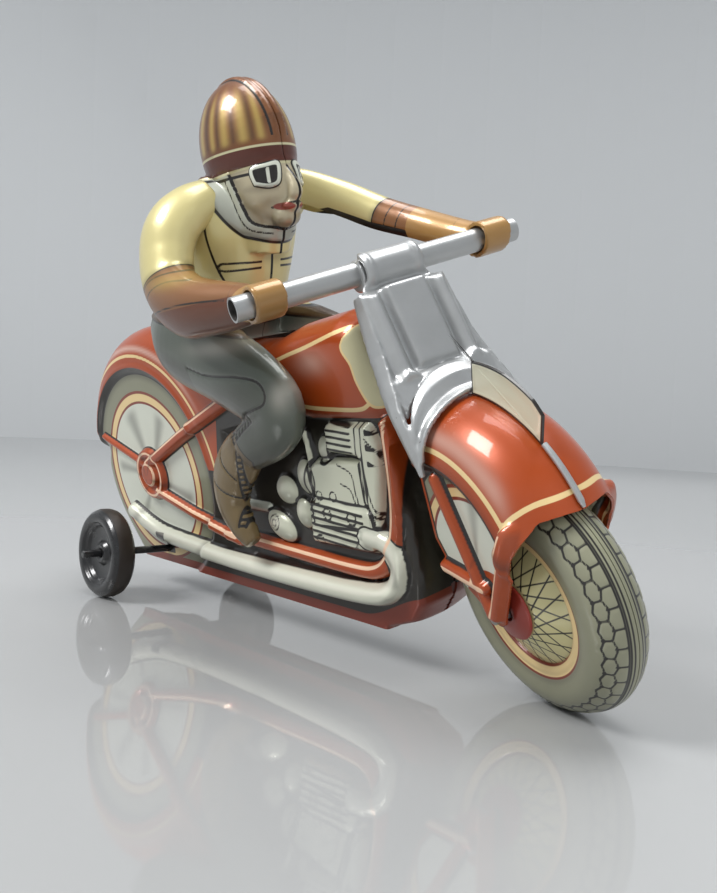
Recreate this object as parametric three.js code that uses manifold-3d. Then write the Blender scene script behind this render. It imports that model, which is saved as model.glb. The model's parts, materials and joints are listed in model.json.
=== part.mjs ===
// A tin wind-up motorcycle with its rider.
//
// Millimetres, +X forward, +Y to the rider's left, +Z up, standing on z = 0.
// The machine leans to its right on a pair of small outrigger wheels, and its
// front fork is turned to the right. The body, rider and fork are laid out in
// the machine's own upright frame, and a group then leans them. The clockwork
// and the drive axle stay level.

import * as THREE from 'three';
import { mergeVertices } from 'three/addons/utils/BufferGeometryUtils.js';
import Module from 'manifold-3d';

const manifold = await Module();
manifold.setup();

// ---------------------------------------------------------------- sizes

const GAP = 0.3;                 // clearance between touching pieces
const SHEET = 0.6;               // tin sheet of the pressings
const LEAN = THREE.MathUtils.degToRad(14.6);
const TURN = THREE.MathUtils.degToRad(17.5);
const RAKE = THREE.MathUtils.degToRad(24);

const BODY_HALF = 9;             // half width of the body over its pressings
const BODY_FLOOR = 10;           // height of the body's bottom edge
const REAR_WHEEL_Z = 35;         // centre height of the embossed rear wheel
const REAR_TYRE_R = 29;
const GUARD_R = 38;              // rear mudguard
const TANK_Z = 74.5;             // top of the tank
const SEAT_Z = 69.5;

const AXLE_R = 1;                // drive axle
const OUTRIGGER_R = 11.6;
const OUTRIGGER_THICK = 6.2;
const OUTRIGGER_RIGHT_Y = -30;   // middle of the right outrigger wheel
const OUTRIGGER_LEFT_Y = 16;
const AXLE_TIP = 3.4;            // what the axle shows past the right wheel

const WHEEL_BASE = 121;          // drive axle to the fork's ground point
const FRONT_R = 22.1;            // front wheel
const TYRE_HALF = 5.6;
const RIM_R = 13.8;
const SPOKE_R = 11.5;
const HUB_R = 5.6;
const DISH = 3.2;                // how far the spoked cone stands out at the hub
const FRONT_AXLE_R = 1.3;
const TRAIL = 4.4;
const FORK_HALF = 11;            // half width of the front mudguard
const FORK_GUARD_R = 29;
const PIN_R = 1.3;               // steering pin

const BAR_R = 2.3;
const BAR_HALF = 31;             // middle of the machine to the end of a bar
const BAR_T = 67;                // height of the bars along the steering axis
const BLOCK_HALF = 6.4;          // half width of the bar clamp on top of the shield
const GLOVE_LENGTH = 7;
const GLOVE_IN = 22;             // where a glove begins along its bar
const GLOVE_SLACK = 1.3;         // fore and aft play of a bar in its glove

const HEAD = new THREE.Vector3(54.5, 0, 108);
const HEAD_LENGTH = 24;
const HEAD_WIDTH = 19;
const HEAD_TOP = 124.5;

const MODULE = 0.5;              // gears
const GREAT_TEETH = 36;
const SECOND_PINION_TEETH = 9;
const SECOND_TEETH = 28;
const DRIVE_PINION_TEETH = 12;
const GEAR_THICK = 0.8;
const MOTOR_HALF = 4.6;          // half width over the motor's side plates
const MOTOR_Y = -5.2;
const PLATE = 0.8;
const ARBOR_R = 1.1;

// ------------------------------------------------------------ materials

function finish(color, roughness, metalness) {
  return new THREE.MeshStandardMaterial({ color, roughness, metalness });
}

const RED = 0xb8431d;
const SILVER = 0xb9bcbe;
const CREAM = 0xe3d6a2;
const TYRE = 0x8d8c72;
const BLACK = 0x1b1b1c;
const STEEL = 0x9a9da1;
const BRASS = 0xb08d4c;

// -------------------------------------------------------------- helpers

function solid(geometry) {
  const bare = geometry.clone();
  bare.deleteAttribute('normal');
  bare.deleteAttribute('uv');
  const merged = mergeVertices(bare, 1e-4);
  const mesh = new manifold.Mesh({
    numProp: 3,
    vertProperties: new Float32Array(merged.attributes.position.array),
    triVerts: new Uint32Array(merged.index.array),
  });
  return new manifold.Manifold(mesh);
}

function geometryOf(body) {
  const mesh = body.getMesh();
  const geometry = new THREE.BufferGeometry();
  geometry.setAttribute('position', new THREE.BufferAttribute(new Float32Array(mesh.vertProperties), 3));
  geometry.setIndex(new THREE.BufferAttribute(new Uint32Array(mesh.triVerts), 1));
  geometry.computeVertexNormals();
  return geometry;
}

function join(...geometries) {
  return geometryOf(geometries.map(solid).reduce((all, next) => all.add(next)));
}

function cut(geometry, ...tools) {
  return geometryOf(tools.map(solid).reduce((rest, next) => rest.subtract(next), solid(geometry)));
}

// The same shape on the other side of the machine.
function mirrored(geometry) {
  const copy = geometry.clone();
  if (!copy.index) copy.setIndex([...Array(copy.attributes.position.count).keys()]);
  copy.scale(1, -1, 1);
  const index = copy.index;
  for (let i = 0; i < index.count; i += 3) {
    const first = index.getX(i);
    index.setX(i, index.getX(i + 2));
    index.setX(i + 2, first);
  }
  return copy;
}

// A plate whose outline is drawn in X and Z, between two values of Y.
function slab(outline, yLow, yHigh) {
  const shape = new THREE.Shape(outline.map(([x, z]) => new THREE.Vector2(x, z)));
  const geometry = new THREE.ExtrudeGeometry(shape, { depth: yHigh - yLow, bevelEnabled: false });
  geometry.rotateX(Math.PI / 2);
  geometry.translate(0, yHigh, 0);
  return geometry;
}

function box(x0, x1, y0, y1, z0, z1) {
  const geometry = new THREE.BoxGeometry(x1 - x0, y1 - y0, z1 - z0);
  geometry.translate((x0 + x1) / 2, (y0 + y1) / 2, (z0 + z1) / 2);
  return geometry;
}

function vector([x, y, z]) {
  return new THREE.Vector3(x, y, z);
}

function rod(from, to, radius, sides = 16) {
  const start = vector(from);
  const along = vector(to).sub(start);
  const geometry = new THREE.CylinderGeometry(radius, radius, along.length(), sides);
  geometry.translate(0, along.length() / 2, 0);
  const turn = new THREE.Quaternion();
  turn.setFromUnitVectors(new THREE.Vector3(0, 1, 0), along.clone().normalize());
  geometry.applyQuaternion(turn);
  geometry.translate(start.x, start.y, start.z);
  return geometry;
}

function circleShape(radius, sides) {
  const shape = new THREE.Shape();
  for (let i = 0; i < sides; i++) {
    const angle = (i / sides) * 2 * Math.PI;
    const point = [radius * Math.cos(angle), radius * Math.sin(angle)];
    if (i === 0) shape.moveTo(...point);
    else shape.lineTo(...point);
  }
  return shape;
}

// A round tube along a smooth curve through its points.
function tube(points, radius, steps, sides = 8) {
  const path = new THREE.CatmullRomCurve3(points.map(vector), false, 'centripetal');
  const settings = { steps, extrudePath: path, bevelEnabled: false };
  return new THREE.ExtrudeGeometry(circleShape(radius, sides), settings);
}

function ball(centre, rx, ry, rz, around = 14, down = 9) {
  const geometry = new THREE.SphereGeometry(1, around, down);
  geometry.rotateX(Math.PI / 2);
  geometry.scale(rx, ry, rz);
  geometry.translate(...centre);
  return geometry;
}

// A turned piece about the Y axis through (x, z); profile points are [radius, y].
function turned(profile, x, z, segments = 40) {
  const points = profile.map(([radius, y]) => new THREE.Vector2(radius, y));
  points.push(points[0].clone());
  const geometry = new THREE.LatheGeometry(points, segments);
  geometry.translate(x, 0, z);
  return facingOut(geometry);
}

// Turns the triangles round where a closed surface was made inside out.
function facingOut(geometry) {
  const body = mergeVertices(stripped(geometry), 1e-4);
  const position = body.attributes.position;
  const index = body.index;
  const corners = [new THREE.Vector3(), new THREE.Vector3(), new THREE.Vector3()];
  let volume = 0;
  for (let i = 0; i < index.count; i += 3) {
    corners.forEach((corner, k) => corner.fromBufferAttribute(position, index.getX(i + k)));
    volume += corners[0].dot(corners[1].clone().cross(corners[2]));
  }
  if (volume < 0) {
    for (let i = 0; i < index.count; i += 3) {
      const first = index.getX(i);
      index.setX(i, index.getX(i + 2));
      index.setX(i + 2, first);
    }
  }
  return body;
}

function stripped(geometry) {
  const bare = geometry.clone();
  bare.deleteAttribute('normal');
  bare.deleteAttribute('uv');
  return bare;
}

// A limb or trunk: closed rings, each with a centre, a half width across the
// machine and a half depth square to the limb in the X-Z plane.
function loft(rings, sides = 12) {
  const points = [];
  const faces = [];
  rings.forEach(({ at, wide, deep }, i) => {
    const before = vector(rings[Math.max(i - 1, 0)].at);
    const after = vector(rings[Math.min(i + 1, rings.length - 1)].at);
    const along = after.sub(before).normalize();
    const across = new THREE.Vector3(0, 1, 0).addScaledVector(along, -along.y).normalize();
    const out = across.clone().cross(along).normalize();
    for (let k = 0; k < sides; k++) {
      const angle = (k / sides) * 2 * Math.PI;
      const point = vector(at);
      point.addScaledVector(across, wide * Math.cos(angle));
      point.addScaledVector(out, deep * Math.sin(angle));
      points.push(point.x, point.y, point.z);
    }
  });
  const last = rings.length - 1;
  for (let i = 0; i < last; i++) {
    for (let k = 0; k < sides; k++) {
      const a = i * sides + k;
      const b = i * sides + ((k + 1) % sides);
      faces.push(a, b, b + sides, a, b + sides, a + sides);
    }
  }
  for (let k = 1; k < sides - 1; k++) {
    faces.push(0, k + 1, k);
    faces.push(last * sides, last * sides + k, last * sides + k + 1);
  }
  const geometry = new THREE.BufferGeometry();
  geometry.setAttribute('position', new THREE.Float32BufferAttribute(points, 3));
  geometry.setIndex(faces);
  return facingOut(geometry);
}

function slimmed(rings, wall) {
  return rings.map(({ at, wide, deep }) => ({ at, wide: wide - wall, deep: deep - wall }));
}

// An outline moved inwards by a wall, corner by corner.
function inset(outline, wall) {
  const count = outline.length;
  return outline.map(([x, z], i) => {
    const [px, pz] = outline[(i + count - 1) % count];
    const [nx, nz] = outline[(i + 1) % count];
    const into = new THREE.Vector2(x - px, z - pz).normalize();
    const away = new THREE.Vector2(nx - x, nz - z).normalize();
    const side = new THREE.Vector2(-into.y - away.y, into.x + away.x).normalize();
    const stretch = Math.max(0.5, side.dot(new THREE.Vector2(-into.y, into.x)));
    return [x + (side.x * wall) / stretch, z + (side.y * wall) / stretch];
  });
}

function arcPoints(cx, cz, radius, fromDegrees, toDegrees, steps) {
  const points = [];
  for (let i = 0; i <= steps; i++) {
    const angle = THREE.MathUtils.degToRad(fromDegrees + ((toDegrees - fromDegrees) * i) / steps);
    points.push([cx + radius * Math.cos(angle), cz + radius * Math.sin(angle)]);
  }
  return points;
}

// A tooth is centred on the angle given as phase.
function gearOutline(teeth, phase) {
  const pitch = (teeth * MODULE) / 2;
  const tip = pitch + 0.8 * MODULE;
  const root = pitch - 1.1 * MODULE;
  const points = [];
  for (let i = 0; i < teeth; i++) {
    [[root, 0.32], [tip, 0.52], [tip, 0.78], [root, 0.98]].forEach(([radius, share]) => {
      const angle = ((i + share - 0.65) / teeth) * 2 * Math.PI + phase;
      points.push([radius * Math.cos(angle), radius * Math.sin(angle)]);
    });
  }
  return points;
}

function gear(teeth, x, z, y, phase, bore) {
  const outline = gearOutline(teeth, phase);
  const disc = slab(outline, y - GEAR_THICK / 2, y + GEAR_THICK / 2);
  const blank = cut(disc, rod([0, y - 2, 0], [0, y + 2, 0], bore, 20));
  blank.translate(x, 0, z);
  return blank;
}

// ---------------------------------------------------------------- groups

const motorcycle = new THREE.Group();
const leaned = new THREE.Group();
leaned.rotation.x = LEAN;
motorcycle.add(leaned);

// The steering axis and a frame along it: t up the axis, s square to it, forward.
const axis = new THREE.Vector3(-Math.sin(RAKE), 0, Math.cos(RAKE));
const ahead = new THREE.Vector3(Math.cos(RAKE), 0, Math.sin(RAKE));
const foot = new THREE.Vector3(WHEEL_BASE, 0, FRONT_R).addScaledVector(ahead, -TRAIL);

function head(t, s) {
  const point = foot.clone().addScaledVector(axis, t).addScaledVector(ahead, s);
  return [point.x, point.z];
}

function headPoint(t, s, y) {
  const [x, z] = head(t, s);
  return [x, y, z];
}

const turn = new THREE.Quaternion().setFromAxisAngle(axis, -TURN);
const steering = new THREE.Group();
steering.quaternion.copy(turn);
steering.position.copy(foot).sub(foot.clone().applyQuaternion(turn));
leaned.add(steering);

// The front wheel stands on the ground, so its centre height follows from
// how far the wheel's own plane is tipped.
const leanTurn = new THREE.Quaternion().setFromAxisAngle(new THREE.Vector3(1, 0, 0), LEAN);
const wheelNormal = new THREE.Vector3(0, 1, 0).applyQuaternion(turn).applyQuaternion(leanTurn);
const CROWN_R = 5;               // roundness of the tyre's crown across it
const upright = Math.sqrt(1 - wheelNormal.z ** 2);
const centreHeight = (FRONT_R - CROWN_R) * upright + CROWN_R;
const wheelCentre = foot.clone().addScaledVector(ahead, TRAIL);
const standing = wheelCentre.clone().sub(foot).applyQuaternion(turn).add(foot).applyQuaternion(leanTurn);
const upInFork = new THREE.Vector3(0, 0, 1).applyQuaternion(leanTurn.clone().invert());
upInFork.applyQuaternion(turn.clone().invert());
const planeUp = new THREE.Vector3(upInFork.x, 0, upInFork.z);
planeUp.multiplyScalar((centreHeight - standing.z) / (planeUp.x * upInFork.x + planeUp.z * upInFork.z));
wheelCentre.add(planeUp);
const WX = wheelCentre.x;
const WZ = wheelCentre.z;

function piece(parent, name, geometry, material) {
  const mesh = new THREE.Mesh(geometry, material);
  mesh.name = name;
  parent.add(mesh);
}

// ------------------------------------------------------------------ body

const guardCentre = [3, REAR_WHEEL_Z + 2];
const bodyOutline = [
  [-15, BODY_FLOOR],
  [88, BODY_FLOOR],
  [96, 12.5],
  [100.5, 17],
  [101.6, 22],
  [99.4, 34],
  [97.4, 46],
  [96, 57],
  [92.3, 66],
  [88, TANK_Z - 1],
  [82, TANK_Z],
  [68, TANK_Z - 2],
  [58, SEAT_Z],
  [24, SEAT_Z],
  ...arcPoints(...guardCentre, GUARD_R, 64, 173, 11),
  ...arcPoints(0, REAR_WHEEL_Z, REAR_TYRE_R, 172, 237, 6),
];

function spindle(x, z, y0, y1, radius, sides) {
  return rod([x, y0, z], [x, y1, z], radius, sides);
}

// What stands out of the right side: wheel rings, stays, tubes, engine, exhaust.
function bodyRelief() {
  const face = -BODY_HALF;
  const back = face + SHEET / 2;
  const engine = [[54, 26], [88, 24], [91, 40], [88, 53], [72, 55], [66, 46], [54, 42]];
  const exhaust = [[6, 17], [30, 16.6], [60, 16.4], [84, 17], [94, 20], [96, 25.5], [91, 29.5], [85, 30.5]];
  const frame = [[40, 23], [60, 22.4], [80, 22], [88, 24], [91.5, 31], [94, 42], [94.5, 50]];
  const at = (points, y) => points.map(([x, z]) => [x, y, z]);
  return [
    spindle(0, REAR_WHEEL_Z, back, face - 1.6, 8.5, 24),
    spindle(0, REAR_WHEEL_Z, back, face - 2.6, 4, 14),
    slab(engine, face - 2.2, back),
    tube(at(exhaust, face - 0.4), 2.7, 16),
    tube(at(frame, face - 0.2), 1.9, 12),
    tube(at([[0, 35], [18, 47], [36, 57]], face - 0.2), 1.8, 6),
    tube(at([[0, 35], [20, 28], [40, 22]], face - 0.2), 1.6, 6),
  ];
}

// The steering lug: half of it on each pressing, bored for the pin.
const LUG_LOW = 42;
const LUG_HIGH = 56;
const LUG_FRONT = 2.4;
const lug = [head(LUG_LOW, -7), head(LUG_LOW, LUG_FRONT), head(LUG_HIGH, LUG_FRONT), head(LUG_HIGH, -7)];
const pinBore = rod(headPoint(LUG_LOW - 9, 0, 0), headPoint(LUG_HIGH + 9, 0, 0), PIN_R + GAP, 20);

// The room that the turned front wheel needs in front of the body.
function wheelRoom() {
  const reach = FRONT_R + 1.6;
  const room = rod([WX, -TYRE_HALF - 2.6, WZ], [WX, TYRE_HALF + 2.6, WZ], reach, 48);
  room.applyQuaternion(turn);
  room.translate(steering.position.x, steering.position.y, steering.position.z);
  return room;
}

const SLOT_HALF = 2;

function bodyHalf(isRight) {
  const outer = slab(bodyOutline, -BODY_HALF, -GAP / 2);
  const hollow = slab(inset(bodyOutline, SHEET), -BODY_HALF + SHEET, 1);
  const belly = box(-8, 84, -BODY_HALF + SHEET, 1, BODY_FLOOR - 2, BODY_FLOOR + 2);
  const shell = cut(outer, hollow, belly);
  let half = join(shell, slab(lug, -3, -GAP / 2), ...bodyRelief());
  if (!isRight) half = mirrored(half);
  const slot = isRight
    ? box(-SLOT_HALF, SLOT_HALF, -BODY_HALF - 5, -BODY_HALF + 2, 12.2, 18.5)
    : box(-SLOT_HALF, SLOT_HALF, 1, BODY_HALF + 5, BODY_FLOOR - 3, 13);
  const axleRoom = box(-SLOT_HALF, SLOT_HALF, -6, 6, BODY_FLOOR - 2, BODY_FLOOR + 2);
  half = cut(half, pinBore, wheelRoom(), slot, axleRoom);
  return isRight ? half : cut(half, keyHole());
}

// ----------------------------------------------------------------- motor

const pitchR = (teeth) => (teeth * MODULE) / 2;
const driveAt = [0, OUTRIGGER_R];
const secondReach = pitchR(SECOND_TEETH) + pitchR(DRIVE_PINION_TEETH) + 0.1;
const greatReach = pitchR(GREAT_TEETH) + pitchR(SECOND_PINION_TEETH) + 0.1;
const SECOND_ANGLE = THREE.MathUtils.degToRad(42);
const GREAT_ANGLE = THREE.MathUtils.degToRad(28);
const secondAt = [secondReach * Math.cos(SECOND_ANGLE), OUTRIGGER_R + secondReach * Math.sin(SECOND_ANGLE)];
const greatAt = [
  secondAt[0] + greatReach * Math.cos(GREAT_ANGLE),
  secondAt[1] + greatReach * Math.sin(GREAT_ANGLE),
];
const KEY_OUT = 14;              // the arbor's square end, from the motor's middle
const PLATE_IN = MOTOR_HALF - PLATE;

function inLean(geometry) {
  const copy = geometry.clone();
  copy.rotateX(-LEAN);
  return copy;
}

function keyHole() {
  return inLean(spindle(...greatAt, 0, 30, ARBOR_R + 1.2, 20));
}

function motorPlate(side) {
  const inner = MOTOR_Y + side * PLATE_IN;
  const outer = MOTOR_Y + side * MOTOR_HALF;
  const corners = [[-3.4, 8.4], [3.6, 8.4], [22, 15], [30.5, 21], [30.5, 32], [9, 32], [3, 26], [-3.4, 15]];
  const plate = slab(corners, Math.min(inner, outer), Math.max(inner, outer));
  const bores = [[driveAt, AXLE_R], [secondAt, ARBOR_R], [greatAt, ARBOR_R]];
  return cut(plate, ...bores.map(([at, radius]) => {
    return spindle(...at, inner - 4, outer + 4, radius + GAP, 16);
  }));
}

const PILLARS = [[28.6, 23], [28.6, 30], [8, 29.6]];

function mainspring() {
  const turns = 5;
  const steps = 70;
  const low = 2.2;
  const high = 7.6;
  const strip = 0.28;
  const edge = (shift) => {
    const points = [];
    for (let i = 0; i <= steps; i++) {
      const share = i / steps;
      const angle = share * turns * 2 * Math.PI;
      const radius = low + (high - low) * share + shift;
      points.push([greatAt[0] + radius * Math.cos(angle), greatAt[1] + radius * Math.sin(angle)]);
    }
    return points;
  };
  return slab([...edge(-strip / 2), ...edge(strip / 2).reverse()], MOTOR_Y - 2.2, MOTOR_Y + 0.6);
}

// ------------------------------------------------------------ front fork

const guardMiddle = [WHEEL_BASE - 12, FRONT_R + 7];
const guardArc = arcPoints(...guardMiddle, FORK_GUARD_R, 25, 102, 12);
const legFoot = arcPoints(WX, WZ, 3.2, 200, 340, 5);
const skirt = [[104.4, 48], [105, 33], [108.6, 27.5], ...legFoot, [129.5, 38.5], [131, 40.2]];
const forkOutline = [...guardArc, ...skirt];

function forkHalf() {
  const outer = slab(forkOutline, -FORK_HALF, -GAP / 2);
  const inside = arcPoints(...guardMiddle, FORK_GUARD_R - SHEET, 24, 103, 12);
  const open = [...inside, [96, 52], [96, 10], [150, 10], [150, 40]];
  const room = slab(open, -FORK_HALF + SHEET, 1);
  const shell = cut(outer, room);
  const face = -FORK_HALF + SHEET / 2;
  const out = -FORK_HALF - 0.3;
  const leg = (x0, z0, x1, z1) => tube([[x0, out, z0], [(x0 + x1) / 2, out, (z0 + z1) / 2], [x1, out, z1]], 1.3, 3);
  const lip = slab([...arcPoints(...guardMiddle, FORK_GUARD_R, 24, 28, 1), [133.5, 41.5]], face, -GAP / 2);
  const raised = join(
    shell,
    leg(111, 46, WX - 2, WZ + 2.5),
    leg(129, 38.5, WX + 2, WZ + 2.5),
    leg(108, 28.4, WX - 1, 27.5),
    spindle(WX, WZ, out - 0.6, face, 2.6, 18),
    lip,
  );
  return cut(raised, spindle(WX, WZ, -20, 0, FRONT_AXLE_R + GAP, 18));
}

function handlebarShield() {
  const [barX, barZ] = head(BAR_T, 0);
  const bar = rod([barX, -BAR_HALF, barZ], [barX, BAR_HALF, barZ], BAR_R, 18);
  const bores = [-1, 1].map((side) => {
    return rod([barX, side * (BAR_HALF - 7), barZ], [barX, side * (BAR_HALF + 1), barZ], BAR_R - SHEET, 18);
  });
  const block = [head(64, -3.6), head(64, 5), head(69.8, 3.8), head(69.8, -3.6)];
  const plate = [head(40, 3.6), head(40, 5), head(64.5, 5.4), head(64.5, 3.6)];
  const panel = [head(42, 4.5), head(43, 7), head(61, 6.6), head(62, 4.5)];
  const cheek = [head(44, 3.9), head(44, 5.6), head(64.5, 5.6), head(64.5, 0.5)];
  const guardTop = FORK_GUARD_R + GAP;
  const hood = [
    ...arcPoints(...guardMiddle, guardTop, 88, 99, 3),
    head(41, 3.6),
    head(44, 5.2),
    ...arcPoints(...guardMiddle, guardTop + 1.2, 92, 88, 1),
  ];
  const legWidth = FORK_HALF + 1.4;
  const leg = [head(45, 4), [110.5, 60.2], [113.5, 58], [112.4, 50], [109.8, 47], [106, 52], [102, 60]];
  const cheeks = [-1, 1].map((side) => {
    return slab(cheek, side > 0 ? 8.5 : -9.4, side > 0 ? 9.4 : -8.5);
  });
  const legs = [-1, 1].map((side) => {
    const inner = FORK_HALF + GAP + 0.2;
    return slab(leg, side > 0 ? inner : -legWidth, side > 0 ? legWidth : -inner);
  });
  const body = join(
    bar,
    slab(block, -BLOCK_HALF, BLOCK_HALF),
    slab(plate, -9.2, 9.2),
    slab(panel, -5.5, 5.5),
    slab(hood, -legWidth + 0.2, legWidth - 0.2),
    ...cheeks,
    ...legs,
  );
  return cut(body, ...bores);
}

function frontWheelHalf() {
  const profile = [
    [FRONT_AXLE_R + GAP, -3.2 - DISH],
    [HUB_R, -3.2 - DISH],
    [SPOKE_R, -3.2],
    [RIM_R, -3.9],
    [17, -TYRE_HALF + 0.6],
    [20, -3.4],
    [FRONT_R - 0.6, -GAP / 2],
    [FRONT_R, -GAP / 2],
    [FRONT_R - 0.35, -1.7],
    [FRONT_R - 1.6, -3.8],
    [17, -TYRE_HALF],
    [RIM_R, -4.9],
    [SPOKE_R, -3.8],
    [HUB_R, -3.8 - DISH],
    [FRONT_AXLE_R + GAP, -3.8 - DISH],
  ];
  return turned(profile, WX, WZ, 36);
}

// ----------------------------------------------------------------- rider

const trunk = [
  { at: [35, 0, 70], wide: 12.4, deep: 18 },
  { at: [36, 0, 74], wide: 11.4, deep: 17 },
  { at: [40, 0, 82], wide: 11, deep: 15.5 },
  { at: [44.5, 0, 92], wide: 12.4, deep: 14 },
  { at: [48.5, 0, 99], wide: 12.6, deep: 11.5 },
  { at: [51, 0, 103.5], wide: 9, deep: 8.5 },
];
const neck = [
  { at: [51, 0, 94], wide: 5.4, deep: 6.6 },
  { at: [56, 0, 104], wide: 6, deep: 7 },
];
const leg = [
  { at: [26, -9.6, 74], wide: 5.5, deep: 7 },
  { at: [34, -11.6, 70.5], wide: 5.4, deep: 9 },
  { at: [50, -13.2, 65.5], wide: 5, deep: 9 },
  { at: [62, -14, 60], wide: 4.6, deep: 8 },
  { at: [69, -14.2, 54], wide: 4.2, deep: 6.6 },
  { at: [65, -14, 48.5], wide: 3.9, deep: 7 },
  { at: [56, -13.6, 42.5], wide: 3.6, deep: 7.4 },
  { at: [47.5, -13.4, 36], wide: 3.4, deep: 6 },
  { at: [44.5, -13.3, 29], wide: 3.3, deep: 5.4 },
  { at: [46.5, -13.2, 24.5], wide: 2.8, deep: 4.4 },
];
const LEG_CLEAR = BODY_HALF + 3;  // the legs stay outside the body's relief

function riderHalf() {
  const face = ball([HEAD.x + 3.4, 0, 101.8], 9, 7.4, 9.4);
  const helmet = ball([HEAD.x, 0, HEAD.z + 2], HEAD_LENGTH / 2, HEAD_WIDTH / 2, HEAD_TOP - HEAD.z - 2);
  const nose = ball([HEAD.x + 11.6, 0, 99.4], 2.6, 1.6, 2.6, 10, 8);
  const outer = [loft(trunk), loft(neck), face, helmet, nose].map(solid).reduce((a, b) => a.add(b));
  const faceIn = ball([HEAD.x + 3.4, 0, 101.8], 9 - SHEET, 7.4 - SHEET, 9.4 - SHEET);
  const helmetIn = ball(
    [HEAD.x, 0, HEAD.z + 2],
    HEAD_LENGTH / 2 - SHEET,
    HEAD_WIDTH / 2 - SHEET,
    HEAD_TOP - HEAD.z - 2 - SHEET,
  );
  const inner = [loft(slimmed(trunk, SHEET)), loft(slimmed(neck, SHEET)), faceIn, helmetIn];
  const limb = solid(loft(leg));
  const limbIn = solid(loft(slimmed(leg.slice(2, -1), SHEET)));
  let all = outer.add(limb);
  inner.forEach((part) => {
    all = all.subtract(solid(part));
  });
  all = all.subtract(limbIn);
  const mount = [
    box(-10, 20, -40, 40, 60, SEAT_Z + GAP),
    box(10, 140, -LEG_CLEAR + GAP, 2, 0, SEAT_Z + GAP),
    box(56, 140, -BODY_HALF - 1, 2, 50, TANK_Z + GAP),
    box(-20, 140, -GAP / 2, 60, -10, 160),
  ];
  mount.forEach((part) => {
    all = all.subtract(solid(part));
  });
  return geometryOf(all);
}

// A point on the turned bar, in the machine's frame.
function onBar(y) {
  const point = vector(headPoint(BAR_T, 0, y)).sub(foot).applyQuaternion(turn).add(foot);
  return point;
}

function armRings(side) {
  const middle = onBar(side * (GLOVE_IN + GLOVE_LENGTH / 2));
  const wrist = [middle.x - 7, middle.y, middle.z + (side < 0 ? 0.8 : 1.2)];
  const grip = [middle.x - 2.5, middle.y, middle.z + 0.2];
  if (side < 0) {
    return [
      { at: [50, -13.9, 100.5], wide: 4, deep: 5 },
      { at: [47.5, -18, 95], wide: 5, deep: 7 },
      { at: [47, -20.4, 89], wide: 5, deep: 6.6 },
      { at: [51, -22, 83.4], wide: 4.8, deep: 6 },
      { at: [58, -23.4, 80], wide: 4.8, deep: 6 },
      { at: [67, -24, 79.2], wide: 4.2, deep: 4.8 },
      { at: wrist, wide: 3.6, deep: 3.4 },
      { at: grip, wide: 3.5, deep: 3.2 },
    ];
  }
  return [
    { at: [50, 13.9, 100.5], wide: 4, deep: 5 },
    { at: [54, 17, 99], wide: 4.6, deep: 5.6 },
    { at: [61, 20, 95.5], wide: 4.4, deep: 5 },
    { at: [70, 22.6, 91], wide: 4.2, deep: 4.6 },
    { at: [80, 24.4, 88], wide: 3.8, deep: 3.8 },
    { at: wrist, wide: 3.6, deep: 3.4 },
    { at: grip, wide: 3.5, deep: 3.2 },
  ];
}

function gloveSleeve(side, grow, length) {
  const inner = side * (GLOVE_IN + GLOVE_LENGTH / 2 - length / 2);
  const outer = side * (GLOVE_IN + GLOVE_LENGTH / 2 + length / 2);
  const [barX, barZ] = head(BAR_T, 0);
  const oval = rod([0, inner, 0], [0, outer, 0], 1, 16);
  oval.scale(BAR_R + GLOVE_SLACK + grow, 1, BAR_R + GAP + grow);
  oval.rotateY(-RAKE);
  oval.translate(barX, 0, barZ);
  oval.applyQuaternion(turn);
  oval.translate(steering.position.x, steering.position.y, steering.position.z);
  return facingOut(oval);
}

function riderArm(side) {
  const rings = armRings(side);
  const arm = join(loft(rings, 10), gloveSleeve(side, 0.7, GLOVE_LENGTH));
  const hollow = loft(slimmed(rings.slice(1, -1), 0.8), 10);
  hollow.translate(0, 0, -1.6);
  const barRoom = gloveSleeve(side, 0, GLOVE_LENGTH + 6);
  const shoulder = ball([48.5, 0, 98], 13.4, 13.2, 8);
  return cut(arm, hollow, barRoom, shoulder, loft(slimmed(trunk, -GAP)));
}

// ---------------------------------------------------------------- pieces

const redTin = finish(RED, 0.35, 0.3);
const silverTin = finish(SILVER, 0.35, 0.7);
const creamTin = finish(CREAM, 0.4, 0.1);
const tyreTin = finish(TYRE, 0.5, 0.1);
const blackTin = finish(BLACK, 0.4, 0.1);
const steel = finish(STEEL, 0.35, 0.9);
const brass = finish(BRASS, 0.35, 0.9);

piece(leaned, 'body_half_right', bodyHalf(true), redTin);
piece(leaned, 'body_half_left', bodyHalf(false), redTin);

const rightRider = riderHalf();
piece(leaned, 'rider_half_right', rightRider, creamTin);
piece(leaned, 'rider_half_left', mirrored(rightRider), creamTin);
piece(leaned, 'rider_arm_right', riderArm(-1), creamTin);
piece(leaned, 'rider_arm_left', riderArm(1), creamTin);

piece(steering, 'handlebar_shield', handlebarShield(), silverTin);
const rightFork = forkHalf();
piece(steering, 'mudguard_half_right', rightFork, redTin);
piece(steering, 'mudguard_half_left', mirrored(rightFork), redTin);

const beadPath = arcPoints(...guardMiddle, FORK_GUARD_R + 1.2, 46, 27, 6).map(([x, z]) => [x, 0, z]);
piece(steering, 'mudguard_bead', tube(beadPath, 0.8, 8, 8), silverTin);

const PLATE_HEIGHT = 6.2;
const plateFoot = arcPoints(...guardMiddle, FORK_GUARD_R + GAP, 85, 49, 6);
const plateTop = [...plateFoot].reverse().map(([x, z], i, all) => {
  const share = i / (all.length - 1);
  return [x + 1.6, z + PLATE_HEIGHT - 0.6 * Math.abs(share - 0.5)];
});
piece(steering, 'number_plate', slab([...plateTop, ...plateFoot], -0.5, 0.5), creamTin);

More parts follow.
